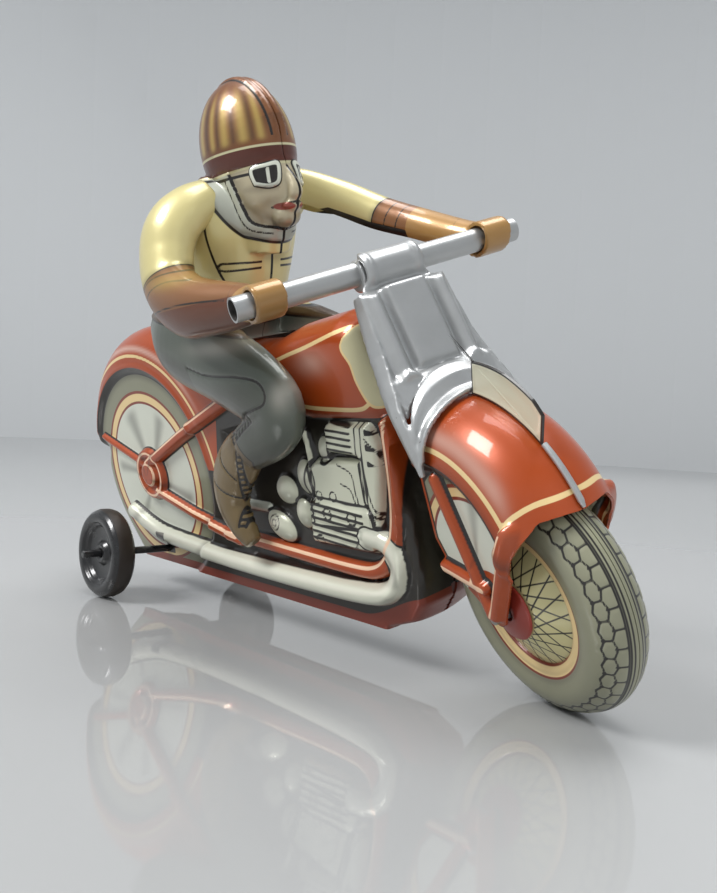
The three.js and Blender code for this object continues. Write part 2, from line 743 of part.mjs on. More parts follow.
const rightWheel = frontWheelHalf();
piece(steering, 'front_wheel_half_right', rightWheel, tyreTin);
piece(steering, 'front_wheel_half_left', mirrored(rightWheel), tyreTin);
const hubFace = 4.1 + DISH;
const hubProfile = [
  [FRONT_AXLE_R + GAP, -hubFace],
  [HUB_R - 0.2, -hubFace],
  [HUB_R, -hubFace - 0.4],
  [3.6, -hubFace - 1],
  [FRONT_AXLE_R + GAP, -hubFace - 1.3],
];
const rightHub = turned(hubProfile, WX, WZ, 24);
piece(steering, 'front_hub_right', rightHub, redTin);
piece(steering, 'front_hub_left', mirrored(rightHub), redTin);
const axleEnd = FORK_HALF + 1.4;
const frontAxle = join(
  spindle(WX, WZ, -axleEnd, axleEnd, FRONT_AXLE_R, 18),
  spindle(WX, WZ, -axleEnd - 0.8, -axleEnd, 2, 18),
  spindle(WX, WZ, axleEnd, axleEnd + 0.8, 2, 18),
);
piece(steering, 'front_axle', frontAxle, steel);

const pinProfile = join(
  rod(headPoint(LUG_LOW - 1.6, 0, 0), headPoint(63.4, 0, 0), PIN_R, 18),
  rod(headPoint(LUG_HIGH + GAP, 0, 0), headPoint(LUG_HIGH + 1.2, 0, 0), 2.6, 20),
);
piece(steering, 'steering_pin', pinProfile, steel);
const washer = cut(
  rod(headPoint(LUG_LOW - 1.1, 0, 0), headPoint(LUG_LOW - GAP, 0, 0), 2.7, 20),
  pinBore,
);
piece(steering, 'steering_washer', washer, steel);

function outrigger(y) {
  const half = OUTRIGGER_THICK / 2;
  const bore = AXLE_R + GAP / 2;
  const profile = [
    [bore, y - 1.6],
    [2.8, y - 1.6],
    [3.4, y - 0.5],
    [7.2, y - 0.8],
    [8.6, y - half],
    [10.8, y - half + 0.5],
    [OUTRIGGER_R, y - half + 1.9],
    [OUTRIGGER_R, y + half - 1.9],
    [10.8, y + half - 0.5],
    [8.6, y + half],
    [7.2, y + 0.8],
    [3.4, y + 0.5],
    [2.8, y + 1.6],
    [bore, y + 1.6],
  ];
  return turned(profile, ...driveAt, 28);
}

piece(motorcycle, 'outrigger_wheel_right', outrigger(OUTRIGGER_RIGHT_Y), blackTin);
piece(motorcycle, 'outrigger_wheel_left', outrigger(OUTRIGGER_LEFT_Y), blackTin);
const axleFrom = OUTRIGGER_RIGHT_Y - OUTRIGGER_THICK / 2 - AXLE_TIP;
const axleTo = OUTRIGGER_LEFT_Y + OUTRIGGER_THICK / 2 + 1;
piece(motorcycle, 'drive_axle', spindle(...driveAt, axleFrom, axleTo, AXLE_R, 16), blackTin);

piece(motorcycle, 'motor_plate_right', motorPlate(-1), steel);
piece(motorcycle, 'motor_plate_left', motorPlate(1), steel);
PILLARS.forEach(([x, z], i) => {
  const reach = PLATE_IN - GAP;
  piece(motorcycle, `motor_pillar_${i + 1}`, spindle(x, z, MOTOR_Y - reach, MOTOR_Y + reach, 1, 14), steel);
});
piece(motorcycle, 'mainspring', mainspring(), steel);

const GREAT_Y = MOTOR_Y + 1.4;
const RATCHET_Y = MOTOR_Y + 2.6;
const SECOND_Y = MOTOR_Y - 3;
const loose = ARBOR_R + GAP / 2;
piece(motorcycle, 'great_wheel', gear(GREAT_TEETH, ...greatAt, GREAT_Y, GREAT_ANGLE + Math.PI, loose), brass);
const pinionPhase = GREAT_ANGLE + Math.PI / SECOND_PINION_TEETH;
const drivePhase = SECOND_ANGLE + Math.PI / DRIVE_PINION_TEETH;
const secondPinion = gear(SECOND_PINION_TEETH, ...secondAt, GREAT_Y, pinionPhase, loose);
piece(motorcycle, 'second_pinion', secondPinion, brass);
piece(motorcycle, 'second_wheel', gear(SECOND_TEETH, ...secondAt, SECOND_Y, SECOND_ANGLE + Math.PI, loose), brass);
const drivePinion = gear(DRIVE_PINION_TEETH, ...driveAt, SECOND_Y, drivePhase, AXLE_R + GAP / 2);
piece(motorcycle, 'drive_pinion', drivePinion, brass);

const arborEnd = MOTOR_HALF + 0.9;
const winder = spindle(...greatAt, MOTOR_Y - arborEnd, MOTOR_Y + KEY_OUT + 1, ARBOR_R, 16);
piece(motorcycle, 'winding_arbor', winder, steel);
piece(motorcycle, 'second_arbor', spindle(...secondAt, MOTOR_Y - arborEnd, MOTOR_Y + arborEnd, ARBOR_R, 14), steel);

function ratchet() {
  const points = [];
  const teeth = 12;
  for (let i = 0; i < teeth; i++) {
    const start = (i / teeth) * 2 * Math.PI;
    const end = ((i + 0.9) / teeth) * 2 * Math.PI;
    points.push([3.2 * Math.cos(start), 3.2 * Math.sin(start)]);
    points.push([4.1 * Math.cos(end), 4.1 * Math.sin(end)]);
  }
  const disc = slab(points, RATCHET_Y - 0.35, RATCHET_Y + 0.35);
  disc.translate(greatAt[0], 0, greatAt[1]);
  return cut(disc, spindle(...greatAt, RATCHET_Y - 2, RATCHET_Y + 2, loose, 16));
}

piece(motorcycle, 'ratchet_wheel', ratchet(), steel);
const clickAt = [greatAt[0] - 0.6, greatAt[1] + 6.6];
const click = [
  [clickAt[0] - 1.2, clickAt[1] + 1],
  [clickAt[0] - 1.2, clickAt[1] - 0.8],
  [clickAt[0] + 2.6, clickAt[1] - 2.1],
  [clickAt[0] + 3.2, clickAt[1] - 1.5],
  [clickAt[0] + 1.2, clickAt[1] + 1],
];
piece(motorcycle, 'click', slab(click, RATCHET_Y - 0.35, RATCHET_Y + 0.35), steel);
const spring = [
  [greatAt[0] - 6.6, greatAt[1] + 1],
  [greatAt[0] - 6.2, greatAt[1] + 1],
  [greatAt[0] - 5.2, greatAt[1] + 4.2],
  [greatAt[0] - 2.2, greatAt[1] + 5.6],
  [greatAt[0] - 2.2, greatAt[1] + 6],
  [greatAt[0] - 5.5, greatAt[1] + 4.6],
];
piece(motorcycle, 'click_spring', slab(spring, RATCHET_Y - 0.3, RATCHET_Y + 0.3), steel);

function windingKey() {
  const out = MOTOR_Y + KEY_OUT;
  const [x, z] = greatAt;
  const barrel = spindle(x, z, out - 3, out + 3, 2.4, 16);
  const ring = (shift) => {
    const loop = new THREE.TorusGeometry(3.3, 1, 6, 14);
    loop.rotateY(Math.PI / 2);
    loop.scale(0.8, 1, 1);
    loop.translate(x, out + 5.2, z + shift);
    return loop;
  };
  const whole = join(barrel, ring(3.4), ring(-3.4));
  return cut(whole, spindle(x, z, out - 6, out + 1 + GAP, ARBOR_R + GAP / 2, 16));
}

piece(motorcycle, 'winding_key', windingKey(), steel);

// The origin is under the middle of the whole machine, on the ground.
motorcycle.updateMatrixWorld(true);
const bounds = new THREE.Box3().setFromObject(motorcycle, true);
const middle = bounds.getCenter(new THREE.Vector3());
motorcycle.position.set(-middle.x, -middle.y, -bounds.min.z);
motorcycle.updateMatrixWorld(true);

export default motorcycle;
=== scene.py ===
import json
import math
from contextlib import contextmanager

import bpy
import numpy as np
from mathutils import Matrix, Vector


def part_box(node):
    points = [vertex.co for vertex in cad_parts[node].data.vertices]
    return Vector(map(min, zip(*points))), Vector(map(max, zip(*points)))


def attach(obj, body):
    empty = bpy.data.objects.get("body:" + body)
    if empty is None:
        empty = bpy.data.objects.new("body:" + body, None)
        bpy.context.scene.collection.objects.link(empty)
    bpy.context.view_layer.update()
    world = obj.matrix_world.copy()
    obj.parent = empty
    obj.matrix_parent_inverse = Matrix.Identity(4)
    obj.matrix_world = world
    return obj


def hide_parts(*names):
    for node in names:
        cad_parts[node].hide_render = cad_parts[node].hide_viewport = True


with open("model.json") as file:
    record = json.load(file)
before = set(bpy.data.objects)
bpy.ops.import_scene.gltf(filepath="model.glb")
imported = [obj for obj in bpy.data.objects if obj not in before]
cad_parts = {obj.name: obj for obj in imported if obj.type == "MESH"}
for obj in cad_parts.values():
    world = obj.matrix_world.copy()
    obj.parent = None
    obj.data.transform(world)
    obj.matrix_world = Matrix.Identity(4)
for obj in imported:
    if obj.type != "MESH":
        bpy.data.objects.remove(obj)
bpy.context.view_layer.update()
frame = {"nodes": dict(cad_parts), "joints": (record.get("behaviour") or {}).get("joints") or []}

bl_info = {
    "name": "Tin wind-up motorcycle",
    "version": (1, 0, 0),
    "blender": (4, 5, 0),
    "location": "View3D > Sidebar > Tin Toy",
    "description": "Lithographed tin motorcycle and rider, built round its packed frame",
    "category": "Add Mesh",
}

# ------------------------------------------------------------------ frames
#
# Pieces are laid out in millimetres: in the machine's own upright frame, in
# the same frame turned with the fork, or in the level frame of the motor.

MM = 0.001
JOINTS = {joint["name"]: joint for joint in frame["joints"]}
STEER_AXIS = Vector(JOINTS["steering"]["axis"]).normalized()
STEER_POINT = Vector(JOINTS["steering"]["pos_m"])
WHEEL_AXIS = Vector(JOINTS["front_wheel_spin"]["axis"]).normalized()
WHEEL_POINT = Vector(JOINTS["front_wheel_spin"]["pos_m"])
DRIVE_POINT = Vector(JOINTS["drive_spin"]["pos_m"])
LEAN = math.atan2(-STEER_AXIS.y, STEER_AXIS.z)
RAKE = math.asin(-STEER_AXIS.x)

ORIGIN = Matrix.Translation((DRIVE_POINT.x, DRIVE_POINT.y, 0))
LEVEL = ORIGIN @ Matrix.Scale(MM, 4)
LEAN_TURN = Matrix.Rotation(LEAN, 4, "X")
MACHINE = ORIGIN @ LEAN_TURN @ Matrix.Scale(MM, 4)
TURN = math.acos((LEAN_TURN @ Vector((0, 1, 0))).dot(WHEEL_AXIS))
TO_PIVOT = Matrix.Translation(STEER_POINT)
FORK = TO_PIVOT @ Matrix.Rotation(-TURN, 4, STEER_AXIS) @ TO_PIVOT.inverted() @ MACHINE

HUB = FORK.inverted() @ WHEEL_POINT          # the front wheel's middle
TRAIL = 4.4                                  # steering axis to the middle of the wheel
AXIS = Vector((-math.sin(RAKE), 0, math.cos(RAKE)))
AHEAD = Vector((math.cos(RAKE), 0, math.sin(RAKE)))
FOOT = Vector((121, 0, 22.1)) - AHEAD * TRAIL
HEAD_FRAME = Matrix((
    (AHEAD.x, 0, AXIS.x, FOOT.x),
    (0, 1, 0, 0),
    (AHEAD.z, 0, AXIS.z, FOOT.z),
    (0, 0, 0, 1),
))                                           # (ahead, left, up the axis) to fork
HEAD = FORK @ HEAD_FRAME

SEAM = 0.08                                  # half of the gap where two pressings meet
BODY_HALF = 9.0
REAR_WHEEL = (0.0, 35.0)
GUARD_MIDDLE = (3.0, 37.0)
GUARD_R = 38.0
FORK_HALF = 11.0
FORK_MIDDLE = (109.0, 29.1)
FORK_GUARD_R = 29.0
BAR_UP = 67.0
BAR_R = 2.3
BAR_HALF = 31.0


# ----------------------------------------------------------- outline maths

def arc(centre, radius, first, last, steps):
    turns = np.radians(np.linspace(first, last, steps + 1))
    return [(centre[0] + radius * math.cos(t), centre[1] + radius * math.sin(t)) for t in turns]


def smooth(low, high, value):
    share = np.clip((np.asarray(value, float) - low) / (high - low), 0, 1)
    return share * share * (3 - 2 * share)


def nearest(line, at):
    """Distance to a line of points, and the nearest point on it."""
    best = np.full(len(at), 1e9)
    spot = np.zeros_like(at)
    for a, b in zip(line[:-1], line[1:]):
        a, b = np.array(a, float), np.array(b, float)
        way = b - a
        share = np.clip(((at - a) @ way) / max(way @ way, 1e-12), 0, 1)
        foot = a + share[:, None] * way
        gap = np.linalg.norm(at - foot, axis=1)
        closer = gap < best
        best[closer] = gap[closer]
        spot[closer] = foot[closer]
    return best, spot


def inside(outline, at):
    odd = np.zeros(len(at), bool)
    x, z = at[:, 0], at[:, 1]
    for (x0, z0), (x1, z1) in zip(outline, outline[1:] + outline[:1]):
        if z0 == z1:
            continue
        crosses = (z0 > z) != (z1 > z)
        odd ^= crosses & (x < (x1 - x0) * (z - z0) / (z1 - z0) + x0)
    return odd


def area(outline, at):
    """How far inside an outline each point lies, negative outside."""
    gap, _ = nearest(outline + outline[:1], at)
    return np.where(inside(outline, at), gap, -gap)


def stroke(line, radius, at):
    return radius - nearest(line, at)[0]


def highest(*fields):
    return np.maximum.reduce(fields)


def lowest(*fields):
    return np.minimum.reduce(fields)


def spot_light(x, z, middle, wide, tall):
    """A soft round spot, one at its middle."""
    return np.exp(-(((x - middle[0]) / wide) ** 2 + ((z - middle[1]) / tall) ** 2))


def shifted(line, right, up):
    return [(x + right, z + up) for x, z in line]


def disc(centre, radius, at):
    return radius - np.hypot(at[:, 0] - centre[0], at[:, 1] - centre[1])


def ring(centre, low, high, at):
    return np.minimum(disc(centre, high, at), -disc(centre, low, at))


def oval(centre, half_x, half_z, tilt, at):
    c, s = math.cos(math.radians(tilt)), math.sin(math.radians(tilt))
    x, z = at[:, 0] - centre[0], at[:, 1] - centre[1]
    u, v = (x * c + z * s) / half_x, (z * c - x * s) / half_z
    return (1 - np.hypot(u, v)) * min(half_x, half_z)


def dome(field, radius):
    """A half round over a stroke of that radius."""
    return np.sqrt(np.clip(radius ** 2 - (radius - np.clip(field, 0, radius)) ** 2, 0, None))


def tube(line, radius, lift, at):
    """The height of a half round tube that stands a little proud."""
    field = stroke(line, radius, at)
    share = 1 - np.clip(1 - field / radius, 0, 1) ** 2
    return (radius + lift) * smooth(0, 1, np.sqrt(share) * 0.72 + 0.14) * smooth(-0.05, 0.5, field)


def curve(points, steps=6):
    """A smooth line through its points."""
    pts = [np.array(p, float) for p in points]
    pts = [2 * pts[0] - pts[1]] + pts + [2 * pts[-1] - pts[-2]]
    line = []
    for a, b, c, d in zip(pts, pts[1:], pts[2:], pts[3:]):
        for i in range(steps):
            t = i / steps
            line.append(tuple(0.5 * (2 * b + (c - a) * t + (2 * a - 5 * b + 4 * c - d) * t * t
                                     + (3 * b - a - 3 * c + d) * t ** 3)))
    return line + [tuple(pts[-2])]


# ---------------------------------------------------------- mesh shop tools

def deselect():
    if bpy.context.mode != "OBJECT":
        bpy.ops.object.mode_set(mode="OBJECT")
    bpy.ops.object.select_all(action="DESELECT")


def pick(piece):
    deselect()
    piece.select_set(True)
    bpy.context.view_layer.objects.active = piece


def named(name):
    piece = bpy.context.active_object
    piece.name = name
    piece.data.name = name
    return piece


def settle(piece):
    """Moves the piece's place into its mesh."""
    piece.data.transform(piece.matrix_basis)
    piece.matrix_basis = Matrix.Identity(4)


@contextmanager
def editing(piece, select="SELECT"):
    """Edit mode on one piece, with all of it selected, or none of it."""
    pick(piece)
    bpy.ops.object.mode_set(mode="EDIT")
    bpy.ops.mesh.select_all(action=select)
    yield
    bpy.ops.object.mode_set(mode="OBJECT")


def modify(piece, kind, **settings):
    pick(piece)
    modifier = piece.modifiers.new(kind.title(), kind)
    for key, value in settings.items():
        setattr(modifier, key, value)
    bpy.ops.object.modifier_apply(modifier=modifier.name)


def corners(piece, key="co"):
    values = np.zeros(len(piece.data.vertices) * 3)
    piece.data.vertices.foreach_get(key, values)
    return values.reshape(-1, 3)


def normals(piece):
    return corners(piece, "normal")


def move_corners(piece, co):
    piece.data.vertices.foreach_set("co", np.ascontiguousarray(co, float).ravel())
    piece.data.update()


def ink(piece, name, values):
    """Stores how far inside a printed shape each vertex lies, in millimetres."""
    data = piece.data
    attribute = data.attributes.get(name) or data.attributes.new(name, "FLOAT", "POINT")
    attribute.data.foreach_set("value", np.ascontiguousarray(values, np.float32))


def outward(piece):
    with editing(piece):
        bpy.ops.mesh.remove_doubles(threshold=1e-5)
        bpy.ops.mesh.normals_make_consistent(inside=False)


def soften(piece, degrees=35):
    pick(piece)
    bpy.ops.object.shade_smooth_by_angle(angle=math.radians(degrees))


def hand_in(piece, place, body, nodes, materials):
    """Puts a piece made in millimetres in its place and on its body."""
    settle(piece)
    piece.data.transform(place)
    if place.determinant() < 0:
        piece.data.flip_normals()
    if materials:
        piece.data.materials.clear()
    for material in materials:
        piece.data.materials.append(material)
    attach(piece, body)
    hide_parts(*nodes)
    return piece


def from_points(name, points, edges=(), faces=()):
    """A new piece with these points, edges and faces."""
    deselect()
    bpy.ops.mesh.primitive_plane_add(size=1, location=(0, 0, 0))
    piece = named(name)
    piece.data.clear_geometry()
    piece.data.from_pydata([tuple(point) for point in points], list(edges), list(faces))
    return piece


def join(pieces):
    """Joins pieces into the first of them."""
    pick(pieces[0])
    for piece in pieces[1:]:
        piece.select_set(True)
    bpy.ops.object.join()
    return pieces[0]


def mirrored(piece, name):
    """The same piece on the other side, with its own mesh."""
    copy = piece.copy()
    copy.data = piece.data.copy()
    copy.name = name
    copy.data.name = name
    bpy.context.scene.collection.objects.link(copy)
    copy.data.transform(Matrix.Scale(-1, 4, (0, 1, 0)))
    copy.data.flip_normals()
    return copy


def hand_in_both(right, left_name, place, body, nodes, materials):
    """Hands in a right half and its mirror, each for its own node."""
    for piece, side in ((right, "right"), (mirrored(right, left_name), "left")):
        hand_in(piece, place, body, [nodes + side], materials)


def spun(name, profile, steps=72):
    """A turned piece about the Y axis through the origin; profile points are (radius, y)."""
    count = len(profile)
    piece = from_points(name, [(r, y, 0) for r, y in profile], [(i, (i + 1) % count) for i in range(count)])
    with editing(piece):
        bpy.ops.mesh.spin(steps=steps, angle=2 * math.pi, center=(0, 0, 0), axis=(0, 1, 0))
    outward(piece)
    return piece


def sheet_grid(name, outline, pitch):
    """A flat grid clipped to an outline: the piece, its points and the faces to keep."""
    lay = np.array(outline)
    low, high = lay.min(0) - pitch, lay.max(0) + pitch
    count = np.ceil((high - low) / pitch).astype(int)
    deselect()
    bpy.ops.mesh.primitive_grid_add(x_subdivisions=int(count[0]), y_subdivisions=int(count[1]), size=1)
    piece = named(name)
    flat = corners(piece)[:, :2]
    at = low + (flat - flat.min(0)) / (flat.max(0) - flat.min(0)) * (high - low)
    inward = area(outline, at)
    _, spot = nearest(outline + outline[:1], at)
    faces = np.array([p.vertices[:] for p in piece.data.polygons])
    keep = inward[faces].max(1) > 0.35 * pitch
    edge = (inward < 0.35 * pitch) & np.isin(np.arange(len(at)), faces[keep])
    at[edge] = spot[edge]
    return piece, at, keep


def finish_sheet(piece, keep, way, rounds, sheet):
    """Drops the faces outside the outline, smooths the sheet and gives it thickness."""
    with editing(piece, "DESELECT"):
        bpy.ops.mesh.select_mode(type="FACE")
    piece.data.polygons.foreach_set("select", ~keep)
    bpy.ops.object.mode_set(mode="EDIT")
    bpy.ops.mesh.delete(type="FACE")
    bpy.ops.mesh.select_all(action="SELECT")
    bpy.ops.mesh.normals_make_consistent(inside=False)
    bpy.ops.object.mode_set(mode="OBJECT")
    face_out(piece, way)
    modify(piece, "SMOOTH", iterations=rounds, factor=0.5)
    modify(piece, "SOLIDIFY", thickness=sheet, offset=-1, material_offset=1, material_offset_rim=0)


def pressing(name, outline, seam, pitch, half, shoulder, relief, fields, sheet):
    """Half of a tin pressing: the seam curls in to the middle plane, other edges stay open."""
    piece, at, keep = sheet_grid(name, outline, pitch)
    wide = shoulder(at)
    reach, spot = nearest(seam, at)
    turn = np.clip(reach / np.maximum(wide, 1e-6), 0, 1) * math.pi / 2
    way = (at - spot) / np.maximum(reach, 1e-9)[:, None]
    curl = reach < wide
    at[curl] += (way * (wide * (1 - np.cos(turn)) - reach)[:, None])[curl]
    out = half(at) * np.sin(turn) + relief(at) * smooth(0.2, 0.9, np.sin(turn))
    co = np.column_stack([at[:, 0], -np.maximum(out, SEAM), at[:, 1]])
    move_corners(piece, co)
    for key, values in fields(at).items():
        ink(piece, key, values)
    finish_sheet(piece, keep, Vector((0, -1, 0)), 2, sheet)
    co = corners(piece)
    co[:, 1] = np.minimum(co[:, 1], -SEAM)
    move_corners(piece, co)
    soften(piece, 50)
    return piece


def face_out(piece, way):
    """Turns an open sheet over if most of it faces away from the given way."""
    total = sum((p.normal * p.area for p in piece.data.polygons), Vector())
    if total.dot(way) < 0:
        piece.data.flip_normals()


# --------------------------------------------------------------- materials

def new_group(name, inputs, outputs):
    group = bpy.data.node_groups.new(name, "ShaderNodeTree")
    for label, kind, default in inputs:
        socket = group.interface.new_socket(name=label, in_out="INPUT", socket_type=kind)
        if default is not None:
            socket.default_value = default
    for label, kind in outputs:
        group.interface.new_socket(name=label, in_out="OUTPUT", socket_type=kind)
    source = group.nodes.new("NodeGroupInput")
    target = group.nodes.new("NodeGroupOutput")
    return group, source.outputs, target.inputs


def math_node(tree, operation, a, b=None, clamp=False):
    node = tree.nodes.new("ShaderNodeMath")
    node.operation = operation
    node.use_clamp = clamp
    for socket, value in zip(node.inputs, (a, b)):
        if value is None:
            continue
        if isinstance(value, (int, float)):
            socket.default_value = value
        else:
            tree.links.new(value, socket)
    return node.outputs[0]


def mix_colour(tree, mask, a, b, blend="MIX"):
    node = tree.nodes.new("ShaderNodeMix")
    node.data_type = "RGBA"
    node.blend_type = blend
    for socket, value in ((node.inputs[0], mask), (node.inputs[6], a), (node.inputs[7], b)):
        if isinstance(value, (int, float)):
            socket.default_value = value
        elif hasattr(value, "__len__"):
            socket.default_value = (*tuple(value)[:3], 1)
        else:
            tree.links.new(value, socket)
    return node.outputs[2]


def read(tree, name):
    node = tree.nodes.new("ShaderNodeAttribute")
    node.attribute_name = name
    return node.outputs["Fac"]


def object_place(tree):
    return tree.nodes.new("ShaderNodeTexCoord").outputs["Object"]


def noise(tree, scale, detail=4.0, roughness=0.55, place=None):
    node = tree.nodes.new("ShaderNodeTexNoise")
    node.inputs["Scale"].default_value = scale
    node.inputs["Detail"].default_value = detail
    node.inputs["Roughness"].default_value = roughness
    tree.links.new(place or object_place(tree), node.inputs["Vector"])
    return node.outputs["Fac"]


def build_print_edge():
    """A crisp mask where a printed shape's distance is above zero."""
    group, given, out = new_group(
        "print_edge",
        [("Distance", "NodeSocketFloat", 0.0), ("Softness", "NodeSocketFloat", 0.12)],
        [("Mask", "NodeSocketFloat")],
    )
    share = math_node(group, "DIVIDE", given["Distance"], given["Softness"])
    group.links.new(math_node(group, "ADD", share, 0.5, clamp=True), out["Mask"])
    return group


def build_tin_wear():
    """Fine mottling, rub marks and tiny chips in an old printed finish."""
    group, given, out = new_group(
        "tin_wear",
        [("Scale", "NodeSocketFloat", 260.0), ("Chips", "NodeSocketFloat", 0.3)],
        [("Mottle", "NodeSocketFloat"), ("Chip", "NodeSocketFloat"), ("Height", "NodeSocketFloat")],
    )
    place = object_place(group)
    soft = noise(group, 90.0, 5.0, 0.6, place)
    fine = group.nodes.new("ShaderNodeTexNoise")
    group.links.new(place, fine.inputs["Vector"])
    group.links.new(given["Scale"], fine.inputs["Scale"])
    fine.inputs["Detail"].default_value = 6.0
    spots = noise(group, 1100.0, 3.0, 0.7, place)
    patch = noise(group, 70.0, 2.0, 0.5, place)
    seed = math_node(group, "MULTIPLY", spots, patch)
    limit = math_node(group, "SUBTRACT", 0.52, math_node(group, "MULTIPLY", given["Chips"], 0.1))
    chip = math_node(group, "MULTIPLY", math_node(group, "SUBTRACT", seed, limit), 30.0, clamp=True)
    group.links.new(soft, out["Mottle"])
    group.links.new(chip, out["Chip"])
    group.links.new(fine.outputs["Fac"], out["Height"])
    return group


GROUPS = {}


def shared(tree, name):
    makers = {"print_edge": build_print_edge, "tin_wear": build_tin_wear}
    if name not in GROUPS:
        GROUPS[name] = makers[name]()
    node = tree.nodes.new("ShaderNodeGroup")
    node.node_tree = GROUPS[name]
    return node


def edge_mask(tree, distance, softness=0.12):
    node = shared(tree, "print_edge")
    node.inputs["Softness"].default_value = softness
    if isinstance(distance, str):
        distance = read(tree, distance)
    tree.links.new(distance, node.inputs["Distance"])
    return node.outputs["Mask"]


def new_material(name, colour, roughness, metallic, coat=0.0):
    material = bpy.data.materials.new(name)
    material.use_nodes = True
    tree = material.node_tree
    shader = tree.nodes["Principled BSDF"]
    shader.inputs["Base Color"].default_value = (*tuple(colour)[:3], 1)
    shader.inputs["Roughness"].default_value = roughness
    shader.inputs["Metallic"].default_value = metallic
    shader.inputs["Coat Weight"].default_value = coat
    shader.inputs["Coat Roughness"].default_value = 0.06
    return material, tree, shader


def printed(name, ground, layers, roughness=0.32, metallic=0.25, coat=0.5, chips=0.3, bump=0.02):
    """Lithographed tin: layers of ink over a ground colour.

    A layer is (field, colour) for a filled shape, or (field, colour, width) for
    the outline of one. The fields shade and light darken and lighten it all.
    """
    material, tree, shader = new_material(name, ground, roughness, metallic, coat)
    colour = ground
    for layer in layers:
        distance = read(tree, layer[0])
        if len(layer) == 3:
            distance = math_node(tree, "SUBTRACT", layer[2] / 2, math_node(tree, "ABSOLUTE", distance))
        colour = mix_colour(tree, edge_mask(tree, distance), colour, layer[1])
    wear = shared(tree, "tin_wear")
    wear.inputs["Chips"].default_value = chips
    colour = mix_colour(tree, math_node(tree, "MULTIPLY", read(tree, "shade"), 0.85), colour,
                        mix_colour(tree, 0.75, colour, (0.02, 0.012, 0.01)))
    colour = mix_colour(tree, math_node(tree, "MULTIPLY", read(tree, "light"), 0.5), colour, (1.0, 0.93, 0.82))
    # Painted highlight: a gold tint for the lit streaks of the helmet and the lit tops of the gauntlets.
    colour = mix_colour(tree, read(tree, "gold_highlight"), colour, (0.5, 0.36, 0.1))
    tone = math_node(tree, "MULTIPLY", wear.outputs["Mottle"], 0.32)
    colour = mix_colour(tree, tone, colour, mix_colour(tree, 0.35, colour, (0.05, 0.03, 0.02)))
    colour = mix_colour(tree, math_node(tree, "MULTIPLY", wear.outputs["Chip"], 0.8), colour, (0.09, 0.07, 0.06))
    tree.links.new(colour, shader.inputs["Base Color"])
    rough = math_node(tree, "ADD", math_node(tree, "MULTIPLY", wear.outputs["Mottle"], 0.22), roughness - 0.1)
    tree.links.new(rough, shader.inputs["Roughness"])
    lift = tree.nodes.new("ShaderNodeBump")
    lift.inputs["Strength"].default_value = bump * 10
    lift.inputs["Distance"].default_value = 0.00005
    tree.links.new(wear.outputs["Height"], lift.inputs["Height"])
    tree.links.new(lift.outputs["Normal"], shader.inputs["Normal"])
    return material


def plain_metal(name, colour, roughness, metallic, spots=0.3, coat=0.0, scale=420.0):
    """One colour of paint, plating or bare metal, mottled and lightly marked."""
    material, tree, shader = new_material(name, colour, roughness, metallic, coat)
    wear = shared(tree, "tin_wear")
    wear.inputs["Scale"].default_value = scale
    wear.inputs["Chips"].default_value = spots
    dark = tuple(c * 0.55 for c in tuple(colour)[:3])
    tone = math_node(tree, "MULTIPLY", wear.outputs["Mottle"], 0.6)
    shade = mix_colour(tree, tone, colour, dark)
    shade = mix_colour(tree, math_node(tree, "MULTIPLY", wear.outputs["Chip"], 0.75), shade, (0.06, 0.05, 0.045))
    tree.links.new(shade, shader.inputs["Base Color"])
    rough = math_node(tree, "ADD", math_node(tree, "MULTIPLY", wear.outputs["Height"], 0.25), roughness - 0.12)
    tree.links.new(rough, shader.inputs["Roughness"])
    lift = tree.nodes.new("ShaderNodeBump")
    lift.inputs["Strength"].default_value = 0.25
    lift.inputs["Distance"].default_value = 0.00006
    tree.links.new(wear.outputs["Height"], lift.inputs["Height"])
    tree.links.new(lift.outputs["Normal"], shader.inputs["Normal"])
    return material


MADE = {}


def material(kind):
    """The finishes of the object, each made once."""
    if kind not in MADE:
        MADE[kind] = FINISHES[kind]()
    return MADE[kind]


def paints():
    return bpy.context.scene.tin_paints


def body_print():
    p = paints()
    return printed("body_lithograph", p.ground, [
        ("skin", p.red), ("skin", p.line, 0.5), ("stripe", p.stripe), ("nose", p.nose), ("nose", p.stripe, 0.5),
        ("tyre", p.tyre), ("tyre", p.line, 0.7), ("rim", p.stripe), ("rim", p.dark_red, 0.75), ("wheel", p.white),
        ("wheel", p.dark_red, 0.4), ("rod", p.white), ("engine", p.metal), ("engine", p.line, 0.55),
        ("drawing", p.line), ("tubes", p.red), ("tubes", p.line, 0.35), ("pipe", p.pipe), ("pipe", p.line, 0.45),
        # The slot layer paints the axle's slot black as its shadow.
        ("gleam", p.gleam), ("flange", p.dark_red), ("slot", p.line)])


def fork_print():
    p = paints()
    return printed("fork_lithograph", p.red, [
        ("inner", p.line), ("tyre", p.tyre), ("rim", p.stripe), ("rim", p.dark_red, 0.7), ("wheel", p.white),
        ("wheel", p.dark_red, 0.4), ("hub", p.red), ("tubes", p.red), ("outline", p.line), ("stripe", p.stripe),
        ("gleam", p.gleam)])


def rider_print():
    p = paints()
    return printed("rider_lithograph", p.jacket, [
        ("trousers", p.trousers), ("trousers", p.line, 0.5), ("boots", p.boots), ("boots", p.line, 0.45),
        ("belt", p.belt), ("belt", p.line, 0.4), ("scarf", p.scarf), ("scarf", p.line, 0.45), ("face", p.face),
        ("face", p.line, 0.4), ("helmet", p.helmet), ("band", p.band), ("band", p.nose, 0.45),
        ("drawing", p.line), ("lips", p.lips), ("frame", p.white), ("frame", p.line, 0.3), ("lens", p.line),
        ("glint", p.white)], chips=0.15)


def arm_print():
    p = paints()
    return printed("arm_lithograph", p.jacket, [
        # The gauntlets' darker lower side is painted shade.
        ("cuff", p.gauntlet), ("cuff", p.line, 0.35), ("gauntlet_shade", p.gauntlet_shade), ("hand", p.glove), ("drawing", p.line),
        # The black on the far arm's hollow underside is painted shade.
        ("hollow_shade", p.line)], chips=0.2)


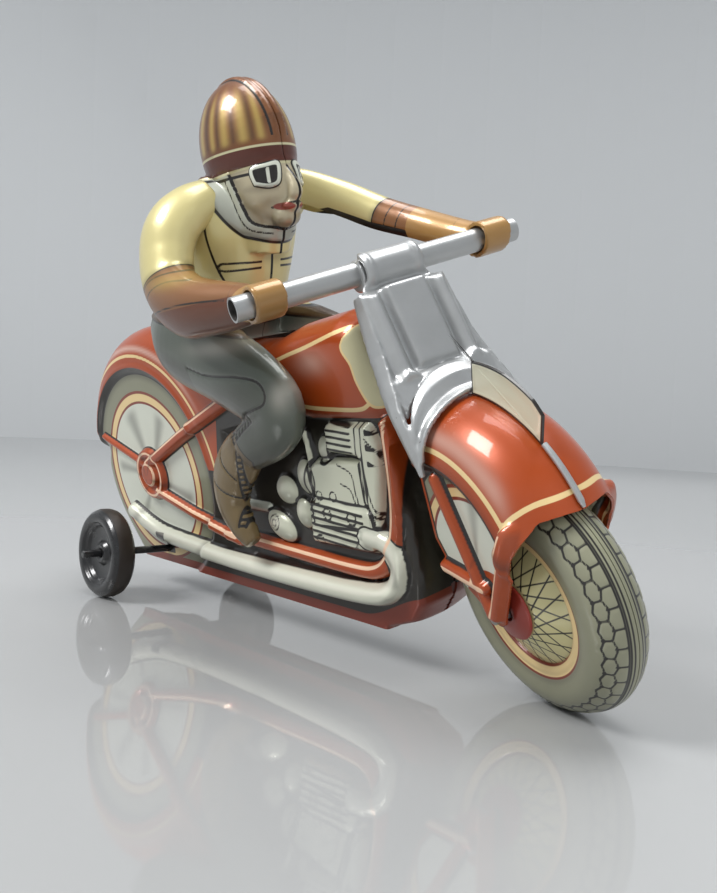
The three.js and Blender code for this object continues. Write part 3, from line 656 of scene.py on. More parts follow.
def wheel_print():
    p = paints()
    return printed("tyre_lithograph", p.tyre, [
        ("spoked", p.spoked), ("spokes", p.line), ("rim", p.stripe), ("rim", p.dark_red, 0.4),
        ("cells", p.line), ("ribs", p.line)], metallic=0.1, roughness=0.4)


def plate_print():
    p = paints()
    return printed("plate_lithograph", p.plate, [("border", p.line)], metallic=0.05, chips=0.5)


FINISHES = {
    "body": body_print,
    "fork": fork_print,
    "rider": rider_print,
    "arm": arm_print,
    "wheel": wheel_print,
    "plate": plate_print,
    "hub": lambda: plain_metal("red_hub_paint", paints().hub, 0.35, 0.15, 0.4, 0.4),
    "silver": lambda: plain_metal("silver_paint", paints().silver, 0.36, 0.75, 0.75),
    "black": lambda: plain_metal("black_paint", (0.012, 0.012, 0.013), 0.3, 0.1, 0.2, 0.5),
    "rubber": lambda: plain_metal("brown_tread", (0.022, 0.016, 0.012), 0.5, 0.0, 0.3),
    "steel": lambda: plain_metal("bare_steel", (0.48, 0.47, 0.45), 0.38, 0.95, 0.4),
    "tin": lambda: plain_metal("bare_tin", (0.2, 0.19, 0.18), 0.45, 0.85, 0.5),
    "brass": lambda: plain_metal("brass", (0.62, 0.43, 0.16), 0.32, 0.95, 0.3),
}


# ------------------------------------------------------- body: shape and print

BODY_SEAM = [(88, 10), (95.2, 12.6), (98.2, 17), (98.8, 22), (97.9, 34), (96.9, 46), (96, 57), (92.3, 66), (88, 73.5),
             (82, 74.5), (68, 72.5), (58, 69.5), (24, 69.5)] \
    + arc(GUARD_MIDDLE, GUARD_R, 64, 173, 40) + arc(REAR_WHEEL, 29, 172, 237, 16)
BODY_OUTLINE = [(-15, 10)] + BODY_SEAM
EXHAUST = curve([(-13, 24), (-4, 20.5), (6, 18.6), (30, 17.3), (60, 17), (83, 17.6), (90.6, 19.6), (93.4, 24.6),
                 (91, 29), (86, 30)])
FRAME_TUBE = curve([(36, 23.8), (60, 22.8), (80, 22.2), (87, 23), (91, 26.4), (93.4, 32), (94.6, 40), (94.6, 53)])
STAYS = [[(0, 38.5), (20, 47.5), (44, 57)], [(3, 31), (20, 26.6), (40, 22.8)], [(-2, 38), (-24, 45)]]
ROD = [(38, 32), (52, 32)]
BOSS = (0.3, 35.8)
STAY_R = (1.9, 1.7, 1.2)
FRAME_R, EXHAUST_R, ROD_R, BOSS_R = 2.0, 2.5, 1.2, 7.4
TANK = [(58, 69.4), (68, 73), (83, 75.2), (89, 74.5), (93, 66), (95.4, 54.2), (72, 53.4), (63.5, 58)]


def body_half_depth(at):
    wheel = disc(REAR_WHEEL, 29.7, at)
    deep = BODY_HALF - 0.9 * smooth(0, 1.2, wheel)
    engine_room = area([(44, 19), (95, 19), (97, 54), (66, 55.5), (38, 50), (38, 24)], at)
    return deep - 1.1 * smooth(0, 2, engine_room)


def body_shoulder(at):
    x, z = at[:, 0], at[:, 1]
    guard = smooth(36, 44, z) * (1 - smooth(46, 58, x))
    tank = smooth(50, 57, z) * smooth(50, 62, x)
    tail = (1 - smooth(-20, -12, x)) * (1 - smooth(36, 44, z))
    return np.clip(1.2 + 6.8 * guard + 5.3 * tank + 3.2 * tail, 1.2, 8.0)


# The engine's rounded parts: middle, half sizes and tilt, then how far each stands out.
ENGINE_OVALS = [
    ((68.2, 40.8), 3.4, 4.2, 12, 2.2),
    ((60.5, 37.2), 4.0, 3.5, 0, 2.4),
    ((65.6, 32.4), 3.0, 3.7, 10, 2.2),
    ((56.6, 28.4), 5.6, 3.5, -22, 2.6),
    ((75.4, 47.4), 2.3, 3.0, 0, 1.8),
]
ENGINE_BLOCK = [(72.5, 45.5), (88, 46.5), (88, 38), (88.5, 31.5), (70.5, 31), (69.8, 44)]
ENGINE_HEAD = [(77, 53.4), (90.6, 53.8), (92.6, 49.4), (92.4, 43), (91.2, 36.5), (89.6, 31.2), (86.4, 37.5), (86, 46),
               (76.8, 46.4)]
ENGINE_BASE = [(68.6, 37.2), (88, 36.4), (90.6, 33.4), (90.6, 30.8), (87.5, 26.2), (67.8, 26)]


def engine_fields(at):
    ovals = [oval(middle, hx, hz, tilt, at) for middle, hx, hz, tilt, _ in ENGINE_OVALS]
    plates = [area(shape, at) for shape in (ENGINE_BLOCK, ENGINE_HEAD, ENGINE_BASE)]
    pushrod = stroke(curve([(69.6, 50.5), (70.4, 45), (69.4, 40), (70.2, 36)]), 0.8, at)
    return ovals, plates, pushrod


def fins(at, shape, pitch, tilt, share):
    """Parallel printed fin lines inside an outline."""
    c, s = math.cos(math.radians(tilt)), math.sin(math.radians(tilt))
    along = (at[:, 1] * c - at[:, 0] * s) / pitch
    line = (share / 2 - np.abs(along - np.round(along))) * pitch
    return np.minimum(line, area(shape, at) - 0.3)


FIN_TOP = [(77.6, 53.2), (86, 53.8), (86, 46.2), (77, 46.8)]
FIN_LOW = [(68.8, 36.6), (86, 36.4), (86.6, 26.6), (68, 26.4)]
FIN_BACK = [(90.6, 36), (92.4, 37.6), (91.4, 30.5), (89.4, 30.5)]


def body_relief(at):
    ovals, plates, pushrod = engine_fields(at)
    height = 1.8 * smooth(0, 0.6, pushrod)
    for field, (_, hx, hz, _, out) in zip(ovals, ENGINE_OVALS):
        reach = min(hx, hz)
        height = np.maximum(height, out * np.sqrt(np.clip(1 - (1 - np.clip(field, 0, reach) / reach) ** 2, 0, 1)))
    for field, out in zip(plates, (2.0, 2.7, 2.5)):
        height = np.maximum(height, out * smooth(0, 1.3, field))
    for shape, pitch, tilt in ((FIN_TOP, 1.3, -4), (FIN_LOW, 1.5, -4), (FIN_BACK, 1.3, 4)):
        height += 0.35 * smooth(0, 0.35, fins(at, shape, pitch, tilt, 0.6)) * smooth(0, 1, height + 0.3)
    boss = disc(BOSS, BOSS_R, at)
    height = highest(
        height, dome(stroke(ROD, ROD_R, at), ROD_R) * 0.8,
        tube(FRAME_TUBE, FRAME_R, 0.5, at), tube(EXHAUST, EXHAUST_R, 0.8, at),
        *(tube(line, radius, 0.4, at) for line, radius in zip(STAYS, STAY_R)),
        1.7 * smooth(0, 0.8, boss) - 0.9 * smooth(0, 0.7, boss - 2.2) + 1.5 * smooth(0, 1.6, boss - 3.1))
    guard_roll = ring(REAR_WHEEL, 29.4, 31.2, at)
    height += 0.35 * smooth(0, 0.6, guard_roll) * smooth(38, 42, at[:, 1])
    return height


def body_fields(at):
    x, z = at[:, 0], at[:, 1]
    wheel_gap = -disc(REAR_WHEEL, 29.8, at)
    guard = lowest(wheel_gap, disc(GUARD_MIDDLE, 39, at), z - 33.5, 0.35 * (z - 40) + 12 - 0.3 * (x - 24),
                   34.5 - x + 0.25 * (z - 41), np.where(x > 12, z - 39.0, 9))
    tank = area(TANK, at)
    skin = highest(guard, lowest(z - 56.0, 66 - x, wheel_gap), tank)
    stripe = highest(np.minimum(0.42 - np.abs(wheel_gap - 3.3), guard - 0.5), *(
        stroke(curve(points), 0.42, at) for points in (
            [(60, 64.6), (66, 66.3), (74, 68.2), (84, 71), (88.5, 71.8)],
            [(66.6, 57.2), (72, 56), (80, 55.7), (88, 55.9), (91, 57.4)],
            [(60, 64.6), (62, 60.5), (66.6, 57.2)])))
    nose = area(curve([(88.8, 72.5), (85.6, 70.3), (84.6, 67.5), (86.6, 64.5), (87.8, 61), (90.2, 57.2), (92.4, 56.2),
                       (94.2, 57), (94.4, 60), (92.6, 66), (90.6, 71)]), at)
    ovals, plates, pushrod = engine_fields(at)
    engine = highest(*ovals, *plates, pushrod)
    lines = [fins(at, FIN_TOP, 1.3, -4, 0.44), fins(at, FIN_LOW, 1.5, -4, 0.42), fins(at, FIN_BACK, 1.3, 4, 0.5)]
    lines += [0.28 - np.abs(field) for field in ovals + plates + [pushrod]]
    lines += [stroke(curve(points), 0.22, at) for points in (
        [(87, 53.4), (86.6, 46), (87.4, 38), (89.6, 31.8)],
        [(88.6, 53.6), (88.2, 46), (88.8, 39), (90.6, 34.4)],
        [(79.5, 44.6), (83.4, 43), (84, 39.5), (84.6, 37)],
        [(80, 40.6), (82.6, 39.6), (83.6, 37)],
        [(89.4, 50.6), (91.4, 48.6), (92.2, 46)],
    )]
    lines += [0.2 - np.abs(disc(spot, radius, at)) for spot, radius in (
        ((55.6, 29.4), 1.7), ((55.6, 29.4), 0.8), ((75, 33.8), 1.2), ((82.4, 33.6), 1.3), ((71.6, 27.6), 1.2),
        ((84.2, 28), 1.2), ((72.6, 37.4), 1.0), ((77, 37.6), 1.0))]
    lines += [area(shape, at) for shape in (
        [(89.6, 52.6), (91.8, 51), (89.6, 51.2)],
        [(89.4, 49.8), (92, 48), (89.4, 48.2)],
        [(89.4, 46.4), (92, 45.2), (89.4, 45)],
    )]
    tubes = highest(*(stroke(line, radius, at) for line, radius in zip(STAYS, STAY_R)),
                    stroke(FRAME_TUBE, FRAME_R, at), disc(BOSS, BOSS_R, at))
    gleam = highest(*(stroke(shifted(line, -0.4, 0.9), 0.34, at) for line in (STAYS[0], STAYS[1], FRAME_TUBE)),
                    0.3 - np.abs(disc(BOSS, 5.9, at)), 0.28 - np.abs(disc(BOSS, 3.0, at)))
    angle = np.degrees(np.arctan2(z - REAR_WHEEL[1], x - REAR_WHEEL[0])) % 360
    wedge = np.zeros(len(at))
    for middle, half in ((112, 17), (345, 10), (62, 12), (232, 10), (175, 9)):
        away = np.abs((angle - middle + 180) % 360 - 180)
        wedge = np.maximum(wedge, 1 - smooth(0, half, away))
    wheel = disc(REAR_WHEEL, 20.3, at)
    tyre = ring(REAR_WHEEL, 23.2, 28.4, at)
    shades = [
        0.75 * wedge * smooth(0, 3, wheel),
        0.7 * (1 - smooth(0, 1.6, wheel_gap)) * smooth(-0.2, 0.0, wheel_gap) * smooth(0, 2, guard),
        0.75 * (1 - smooth(0, 4.5, z - 53.4)) * smooth(0, 0.3, tank),
        0.6 * smooth(0, 1.1, stroke(shifted(EXHAUST, 0, -1.9), 1.3, at)),
        0.45 * smooth(0.35, 0, np.abs(plates[0] - 0.5)) * smooth(0, 0.1, plates[0]),
        0.4 * smooth(30.5, 26, z) * smooth(0, 0.2, plates[2]),
        0.6 * (1 - smooth(0, 2.4, disc(REAR_WHEEL, 28.4, at))) * smooth(0, 0.2, tyre),
    ]
    lights = [
        0.65 * smooth(0.5, 0, np.abs(wheel_gap - 5.2) / 2.4) * smooth(0, 1, guard) * smooth(-20, -8, x)
        * (1 - smooth(20, 34, x)),
        0.55 * smooth(0, 0.9, stroke(shifted(EXHAUST, 0, 0.9), 0.9, at)),
        0.5 * spot_light(x, z, (75, 65), 5, 2.6) * smooth(0, 1, tank),
    ]
    for (middle, hx, hz, tilt, _), field in zip(ENGINE_OVALS, ovals):
        low = oval((middle[0] + 0.25 * hx, middle[1] - 0.45 * hz), hx * 0.8, hz * 0.7, tilt, at)
        shades.append(0.5 * smooth(0, 1.6, low) * smooth(0, 0.3, field))
        lights.append(0.7 * spot_light(x, z, (middle[0] - 0.9, middle[1] + 1.2), 0.4 * hx, 0.35 * hz))
    return {
        "skin": skin, "stripe": stripe, "nose": nose, "tyre": tyre,
        "rim": ring(REAR_WHEEL, 20.4, 23.2, at), "wheel": wheel, "engine": engine, "drawing": highest(*lines),
        "rod": stroke(ROD, ROD_R, at), "tubes": tubes, "gleam": gleam, "pipe": stroke(EXHAUST, EXHAUST_R, at),
        "flange": 12.4 - z + 6.7 * smooth(80, 100, x),
        # Painted shadow: the axle's slot in the body is painted black, not cut.
        "slot": area([(-0.6, 13), (3.4, 13), (4.4, 20), (0.2, 20)], at),
        "shade": np.clip(highest(*shades), 0, 1), "light": np.clip(highest(*lights), 0, 1),
    }


class TIN_OT_body(bpy.types.Operator):
    """The two embossed and printed halves of the body"""
    bl_idname = "tin_toy.body"
    bl_label = "Body halves"

    def execute(self, context):
        sizes = context.scene.tin_sizes
        right = pressing("body_shell_right", BODY_OUTLINE, BODY_SEAM, sizes.body_pitch / MM, body_half_depth,
                         body_shoulder, body_relief, body_fields, sizes.sheet / MM)
        hand_in_both(right, "body_shell_left", MACHINE, "root", "body_half_",
                     [material("body"), material("tin")])
        return {"FINISHED"}


# --------------------------------------------------------------- front fork

FORK_SEAM = arc(FORK_MIDDLE, FORK_GUARD_R, 25, 102, 36)
FORK_OUTLINE = FORK_SEAM + [(104.4, 48), (105, 33), (108.6, 27.5)] + arc((HUB.x, HUB.z), 2.0, 205, 335, 10) \
    + [(130.5, 38.2), (131.2, 40.4)]
FORK_WHEEL = (117.8, 30.6)


FORK_LEGS = [[(111, 46), (HUB.x - 0.4, HUB.z + 0.6)], [(129.5, 40.2), (HUB.x + 0.5, HUB.z + 0.6)],
             [(108, 28.4), (HUB.x - 1, 27.5)]]


def fork_depth(at):
    apron = smooth(0, 1, FORK_GUARD_R - 10.2 - np.hypot(at[:, 0] - FORK_MIDDLE[0], at[:, 1] - FORK_MIDDLE[1]))
    return FORK_HALF - 0.8 * apron


def fork_relief(at):
    height = highest(np.zeros(len(at)), *(tube(line, 1.5, 0.4, at) for line in FORK_LEGS))
    roll = disc(FORK_MIDDLE, 19.6, at)
    height += 0.4 * smooth(-0.9, 0, -np.abs(roll)) * smooth(0, 4, at[:, 1] - 34)
    return np.minimum(height, 1.9)


def fork_fields(at):
    x, z = at[:, 0], at[:, 1]
    guard = disc(FORK_MIDDLE, 19.4, at)
    around_guard = lowest(0.45 - np.abs(disc(FORK_MIDDLE, 22.3, at)), 128.2 - x)
    across_guard = stroke(curve([(128.2, 40.6), (129.6, 42.2), (131.8, 43.8), (133.6, 44.2)]), 0.45, at)
    legs = highest(*(stroke(line, 1.55, at) for line in FORK_LEGS), disc((HUB.x, HUB.z), 2.2, at),
                   stroke([(130.5, 38.2), (HUB.x + 1.6, HUB.z - 0.8)], 0.8, at),
                   stroke([(104.6, 47.6), (105.2, 33), (108.8, 27.2)], 0.8, at))
    gleam = highest(*(stroke(shifted(line, right, up), wide, at) for line, right, up, wide in zip(
        FORK_LEGS, (-0.9, -0.7, 0), (-0.3, -0.2, -0.1), (0.36, 0.26, 0.5))))
    light = 0.5 * np.exp(-((disc(FORK_MIDDLE, 24.4, at)) / 1.3) ** 2) * smooth(104, 112, x) * (1 - smooth(126, 131, x))
    shade = 0.75 * (1 - smooth(0, 2.0, -guard)) * smooth(-0.3, 0, -guard) + 0.5 * (1 - smooth(0, 3.5, x - 102.5))
    angle = np.degrees(np.arctan2(z - FORK_WHEEL[1], x - FORK_WHEEL[0])) % 360
    away = np.abs((angle - 80 + 180) % 360 - 180)
    shade = np.maximum(shade, 0.6 * (1 - smooth(0, 12, away)) * smooth(0, 2, guard))
    return {
        "inner": guard + 0.4, "tyre": np.minimum(disc(FORK_WHEEL, 18.2, at), guard - 0.6),
        "rim": np.minimum(ring(FORK_WHEEL, 12.7, 15.0, at), guard - 0.6),
        "wheel": np.minimum(disc(FORK_WHEEL, 12.6, at), guard - 0.6),
        "hub": np.minimum(disc((HUB.x, HUB.z), 8.6, at), guard), "stripe": np.maximum(around_guard, across_guard),
        "tubes": legs, "outline": np.minimum(0.28 - np.abs(legs), guard + 0.5), "gleam": gleam,
        "shade": np.clip(shade, 0, 1), "light": np.clip(light, 0, 1),
    }


class TIN_OT_fork(bpy.types.Operator):
    """The two halves of the front mudguard, with the fork legs pressed into them"""
    bl_idname = "tin_toy.fork"
    bl_label = "Front mudguard"

    def execute(self, context):
        sizes = context.scene.tin_sizes
        right = pressing("mudguard_shell_right", FORK_OUTLINE, FORK_SEAM, sizes.fork_pitch / MM, fork_depth,
                         lambda at: np.full(len(at), 9.0), fork_relief, fork_fields, sizes.sheet / MM)
        hand_in_both(right, "mudguard_shell_left", FORK, "fork", "mudguard_half_",
                     [material("fork"), material("tin")])
        return {"FINISHED"}


# ------------------------------------------------------------------- wheels

TYRE_PROFILE = curve([(13.8, -4.9), (15.2, -5.35), (17, -5.6), (18.8, -5.1), (20.5, -3.8), (21.55, -2.2), (22.0, -0.9),
                      (22.1, -SEAM)], 7)
SPOKE_COUNT = 40
SPOKE_R = 11.5
HUB_DISC = 5.6
DISH = 3.2                                   # how far the spoked disc stands out at the hub
TREAD_CELLS = 38


def wheel_fields(co):
    """Spokes, ring and tread of a front wheel half laid out about its own axis."""
    radius = np.hypot(co[:, 0], co[:, 2])
    line = np.array(TYRE_PROFILE)
    length = np.concatenate([[0], np.cumsum(np.hypot(*np.diff(line, axis=0).T))])
    at = np.column_stack([radius, co[:, 1]])
    gaps = np.linalg.norm(at[:, None, :] - line[None, :, :], axis=2)
    across = np.where(radius > 13.8, length[-1] - length[np.argmin(gaps, axis=1)], 99.0)
    share = np.arctan2(co[:, 2], co[:, 0]) / (2 * math.pi) * TREAD_CELLS
    pitch = 2 * math.pi * 21 / TREAD_CELLS

    def wall(low, high, shift):
        beside = (0.5 - np.abs((share + shift) % 1 - 0.5)) * pitch
        return np.minimum(0.2 - beside, np.minimum(across - low, high - across))

    def zigzag(shift):
        return 0.66 * np.abs(((share + shift) % 1 - 0.5) * 2)

    cells = highest(0.19 - np.abs(across - 1.7), 0.19 - np.abs(across - 3.4 - zigzag(0)),
                    0.22 - np.abs(across - 5.4 - zigzag(0.5)), wall(1.7, 3.9, 0.5), wall(4.1, 5.9, 0.0))
    ribs = np.maximum(0.16 - np.abs(across - 0.75), 0.16 - np.abs(across - 1.35))
    return radius, across, cells, ribs


def spokes(co):
    """Crossed spokes as thin lines from the hub to the rim."""
    at = co[:, [0, 2]]
    best = np.full(len(at), -9.0)
    for i in range(SPOKE_COUNT):
        start = 2 * math.pi * i / SPOKE_COUNT
        end = start + (0.62 if i % 2 else -0.62)
        a = (5.0 * math.cos(start), 5.0 * math.sin(start))
        b = (11.8 * math.cos(end), 11.8 * math.sin(end))
        best = np.maximum(best, stroke([a, b], 0.14, at))
    return best


class TIN_OT_front_wheel(bpy.types.Operator):
    """The front wheel: two printed halves and their red hub discs"""
    bl_idname = "tin_toy.front_wheel"
    bl_label = "Front wheel"

    def execute(self, context):
        inner = [(1.6, -3.8 - DISH), (HUB_DISC, -3.8 - DISH)]
        inner += [(r, -3.8 - DISH * (SPOKE_R - r) / (SPOKE_R - HUB_DISC))
                  for r in np.linspace(HUB_DISC, SPOKE_R, 30)[1:]]
        ringed = curve([(SPOKE_R, -3.8), (11.8, -4.3), (12.6, -4.75), (13.4, -4.75), (13.8, -4.9)], 4)
        outer = inner[:-1] + ringed[:-1] + TYRE_PROFILE
        back = [(22.1 - 0.5, -SEAM), (20.6, -2.6), (17, -5.0), (13.9, -4.3), (11.6, -3.2), (HUB_DISC, -3.2 - DISH),
                (1.6, -3.2 - DISH)]
        wheel = spun("front_tyre_right", outer + back, steps=400)
        co = corners(wheel)
        radius, across, cells, ribs = wheel_fields(co)
        face = co[:, 1] < -0.01
        ink(wheel, "spoked", 11.9 - radius)
        ink(wheel, "spokes", np.minimum(spokes(co), 11.7 - radius))
        ink(wheel, "rim", np.minimum(13.9 - radius, radius - 11.7))
        ink(wheel, "cells", np.where(radius > 14, cells, -9))
        ink(wheel, "ribs", np.where(radius > 14, ribs, -9))
        ink(wheel, "shade", 0.35 * np.clip(1 - np.abs(radius - 14.4) / 0.8, 0, 1) * face)
        push = 0.12 * (smooth(-0.1, 0.35, -cells) - 1) * (radius > 16) * (across < 7)
        move_corners(wheel, co + normals(wheel) * push[:, None])
        soften(wheel, 40)
        place = FORK @ Matrix.Translation(HUB)
        hand_in_both(wheel, "front_tyre_left", place, "front_wheel", "front_wheel_half_",
                     [material("wheel")])
        face = 4.05 + DISH
        disc_profile = [(1.6, -face), (5.4, -face), (HUB_DISC, -face - 0.25), (5.3, -face - 0.6), (4.2, -face - 0.85),
                        (3.2, -face - 1.2), (2.6, -face - 1.3), (1.6, -face - 1.3)]
        deselect()
        bpy.ops.mesh.primitive_cylinder_add(vertices=28, radius=1.15, depth=22.8, rotation=(math.pi / 2, 0, 0))
        spindle = named("front_spindle")
        soften(spindle)
        hand_in(spindle, place, "fork", ["front_axle"], [material("steel")])
        hub = spun("hub_disc_right", disc_profile, steps=64)
        modify(hub, "BEVEL", width=0.12, segments=2, limit_method="ANGLE")
        soften(hub, 40)
        hand_in_both(hub, "hub_disc_left", place, "front_wheel", "front_hub_", [material("hub")])
        return {"FINISHED"}


OUTRIGGER_FACE = [(1.2, -1.7), (2.2, -1.9), (2.8, -1.5), (3.3, -0.7), (5.0, -0.9), (6.8, -1.1), (7.3, -1.9),
                  (7.9, -2.2), (8.3, -2.9), (9.4, -3.1), (10.4, -2.9), (11.2, -2.1), (11.6, -0.8)]
OUTRIGGER_PROFILE = OUTRIGGER_FACE + [(r, -y) for r, y in reversed(OUTRIGGER_FACE)]


class TIN_OT_outriggers(bpy.types.Operator):
    """The two small driven wheels on their axle"""
    bl_idname = "tin_toy.outriggers"
    bl_label = "Outrigger wheels"

    def execute(self, context):
        axle_height = DRIVE_POINT.z / MM
        for side in ("right", "left"):
            low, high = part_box("outrigger_wheel_" + side)
            middle = ((low + high) / 2).y / MM - DRIVE_POINT.y / MM
            wheel = spun("outrigger_" + side, OUTRIGGER_PROFILE, steps=72)
            modify(wheel, "BEVEL", width=0.18, segments=2, limit_method="ANGLE", angle_limit=math.radians(25))
            soften(wheel, 50)
            tread = np.array([math.hypot(p.center.x, p.center.z) > 11.35 for p in wheel.data.polygons])
            hand_in(wheel, LEVEL @ Matrix.Translation((0, middle, axle_height)), "drive",
                    ["outrigger_wheel_" + side], [material("black"), material("rubber")])
            wheel.data.polygons.foreach_set("material_index", tread.astype(int))
        low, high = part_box("drive_axle")
        start, end = (low.y - DRIVE_POINT.y) / MM, (high.y - DRIVE_POINT.y) / MM
        deselect()
        bpy.ops.mesh.primitive_cylinder_add(vertices=32, radius=0.98, depth=end - start,
                                            location=(0, (start + end) / 2, 0), rotation=(math.pi / 2, 0, 0))
        axle = named("axle_rod")
        modify(axle, "BEVEL", width=0.3, segments=3, limit_method="ANGLE")
        soften(axle)
        hand_in(axle, LEVEL @ Matrix.Translation((0, 0, axle_height)), "drive", ["drive_axle"],
                [material("black")])
        return {"FINISHED"}


# ---------------------------------------------------------------- bars, shield

def shield_outline():
    """Half of the shield seen from ahead, as (half width, height up the axis)."""
    arch = [(12.2 * math.sin(a), 31.6 + 11.6 * math.cos(a)) for a in np.radians(np.linspace(0, 62, 12))]
    return arch + [(11.6, 39), (10.2, 44), (9.4, 50), (9.2, 60), (8.4, 62), (7.2, 62.8), (6.3, 63.4), (6.2, 69.2),
                   (5.6, 69.8), (0, 69.8)]


def shield_rise(at):
    """How far ahead of the steering axis the face of the shield stands."""
    y, t = np.abs(at[:, 0]), at[:, 1]
    clamp = smooth(61.4, 63.6, t)
    rise = np.full(len(t), 3.7)
    panel = np.minimum(4.7 - y, np.minimum(t - 45.4, 75 - t))
    rise += (1.9 + 0.25 * (1 - (y / 4.7) ** 2)) * smooth(-0.5, 0.9, panel) * (1 - clamp)
    rib = np.minimum(1.7 - np.abs(y - 7.2), np.minimum(t - 43.8, 61.6 - t))
    rise += 2.3 * np.sqrt(np.clip(smooth(-0.2, 1.9, rib), 0, 1)) * (1 - clamp)
    roll = np.sqrt(np.clip(1 - ((t - 66.3) / 3.7) ** 2, 0, 1))
    rise = rise * (1 - clamp) + clamp * (1.2 + 3.9 * roll + 0.55 * smooth(-0.1, 0.7, 0.9 - np.abs(y - 5.0)))
    rise += smooth(46, 43.6, t) * (3.4 - 0.2 * y)
    return rise


# Each row of a side: height, then (ahead, out) of its front and of its back edge.
SHIELD_SIDE = [
    (61.8, (3.9, 8.6), (1.2, 8.9)), (56, (4.0, 8.9), (0.6, 9.8)), (50, (4.1, 9.3), (0.8, 10.8)),
    (46, (4.5, 10.0), (1.2, 11.4)),
    (43, (5.0, 10.7), (1.6, 12.0)), (39.2, (5.5, 11.7), (2.0, 12.3)), (35.9, (6.1, 12.1), (2.4, 12.3)),
    (31, (6.4, 12.3), (2.9, 12.3)), (27, (4.9, 12.3), (4.1, 12.3)),
]


def sheet_rows(name, rows, thickness):
    """A closed sheet through rows of points, with its thickness to both sides."""
    wide = len(rows[0])
    faces = [(i * wide + k, i * wide + k + 1, (i + 1) * wide + k + 1, (i + 1) * wide + k)
             for i in range(len(rows) - 1) for k in range(wide - 1)]
    sheet = from_points(name, [point for row in rows for point in row], faces=faces)
    modify(sheet, "SOLIDIFY", thickness=thickness, offset=0)
    outward(sheet)
    return sheet


class TIN_OT_shield(bpy.types.Operator):
    """The silver handlebar pressing: bars, clamp, shield and side legs"""
    bl_idname = "tin_toy.shield"
    bl_label = "Handlebar and shield"

    def execute(self, context):
        half = shield_outline()
        outline = half + [(-y, t) for y, t in reversed(half[1:-1])]
        plate, at, keep = sheet_grid("handlebar_pressing", outline, context.scene.tin_sizes.fork_pitch / MM)
        move_corners(plate, np.column_stack([shield_rise(at), at[:, 0], at[:, 1]]))
        finish_sheet(plate, keep, Vector((1, 0, 0)), 2, 1.0)
        parts = []
        for side in (-1, 1):
            rows = []
            for up, (front, wide), (back, wider) in SHIELD_SIDE:
                middle = (back * 0.55 + front * 0.45, side * ((wide + wider) / 2 + 0.5), up)
                rows.append([(front, side * wide, up), middle, (back, side * wider, up)])
            parts.append(sheet_rows("side", rows, 1.0))
        band = []
        to_head = HEAD_FRAME.inverted()
        for lift in np.radians(np.linspace(-88, 88, 33)):
            radius, y = 20 + 10.1 * math.cos(lift), 12.3 * math.sin(lift)
            low = [to_head @ Vector((px, y, pz)) for px, pz in arc(FORK_MIDDLE, radius, 85, 90, 3)]
            high = Vector((6.4, 0.985 * y, 32.4 + 11.6 * math.cos(lift)))
            band.append(low + [low[-1].lerp(high, 0.5) + Vector((0.7, 0, 0.5)), high])
        parts.append(sheet_rows("hood", band, 0.9))
        deselect()
        bpy.ops.mesh.primitive_cylinder_add(vertices=40, radius=3.1, depth=12.4, location=(0, 0, BAR_UP - 0.5),
                                            rotation=(math.pi / 2, 0, 0))
        parts.append(named("clamp"))
        join([plate, *parts])
        modify(plate, "REMESH", mode="VOXEL", voxel_size=context.scene.tin_sizes.shield_voxel / MM)
        modify(plate, "SMOOTH", iterations=4, factor=0.5)
        bars = []
        for side in (-1, 1):
            deselect()
            reach = BAR_HALF - 5.5
            bpy.ops.mesh.primitive_cylinder_add(vertices=48, radius=BAR_R, depth=reach, end_fill_type="NGON",
                                                location=(0, side * (BAR_HALF - reach / 2), BAR_UP),
                                                rotation=(-side * math.pi / 2, 0, 0))
            bar = named("bar")
            bpy.ops.object.transform_apply(location=True, rotation=True, scale=True)
            open_end(bar, Vector((0, side, 0)), BAR_R - 0.4, 7.0)
            bars.append(bar)
        for part in (plate, *bars):
            part.data.materials.append(material("silver"))
            part.data.materials.append(material("tin"))
        join([plate, *bars])
        soften(plate, 40)
        hand_in(plate, HEAD, "fork", ["handlebar_shield"], [])
        return {"FINISHED"}


def open_end(piece, way, bore, depth):
    """Bores a blind hole into the flat end that faces the given way."""
    with editing(piece, "DESELECT"):
        bpy.ops.mesh.select_mode(type="FACE")
    for face in piece.data.polygons:
        face.select = face.normal.dot(way) > 0.9
    bpy.ops.object.mode_set(mode="EDIT")
    bpy.ops.mesh.inset(thickness=BAR_R - bore)
    bpy.ops.mesh.extrude_region_move(TRANSFORM_OT_translate={"value": -way * depth})
    bpy.ops.object.mode_set(mode="OBJECT")
    for face in piece.data.polygons:
        middle = face.center - way * face.center.dot(way)
        middle.z -= BAR_UP
        face.material_index = int(middle.length < bore + 0.01 and face.center.dot(way) < BAR_HALF - 0.01)


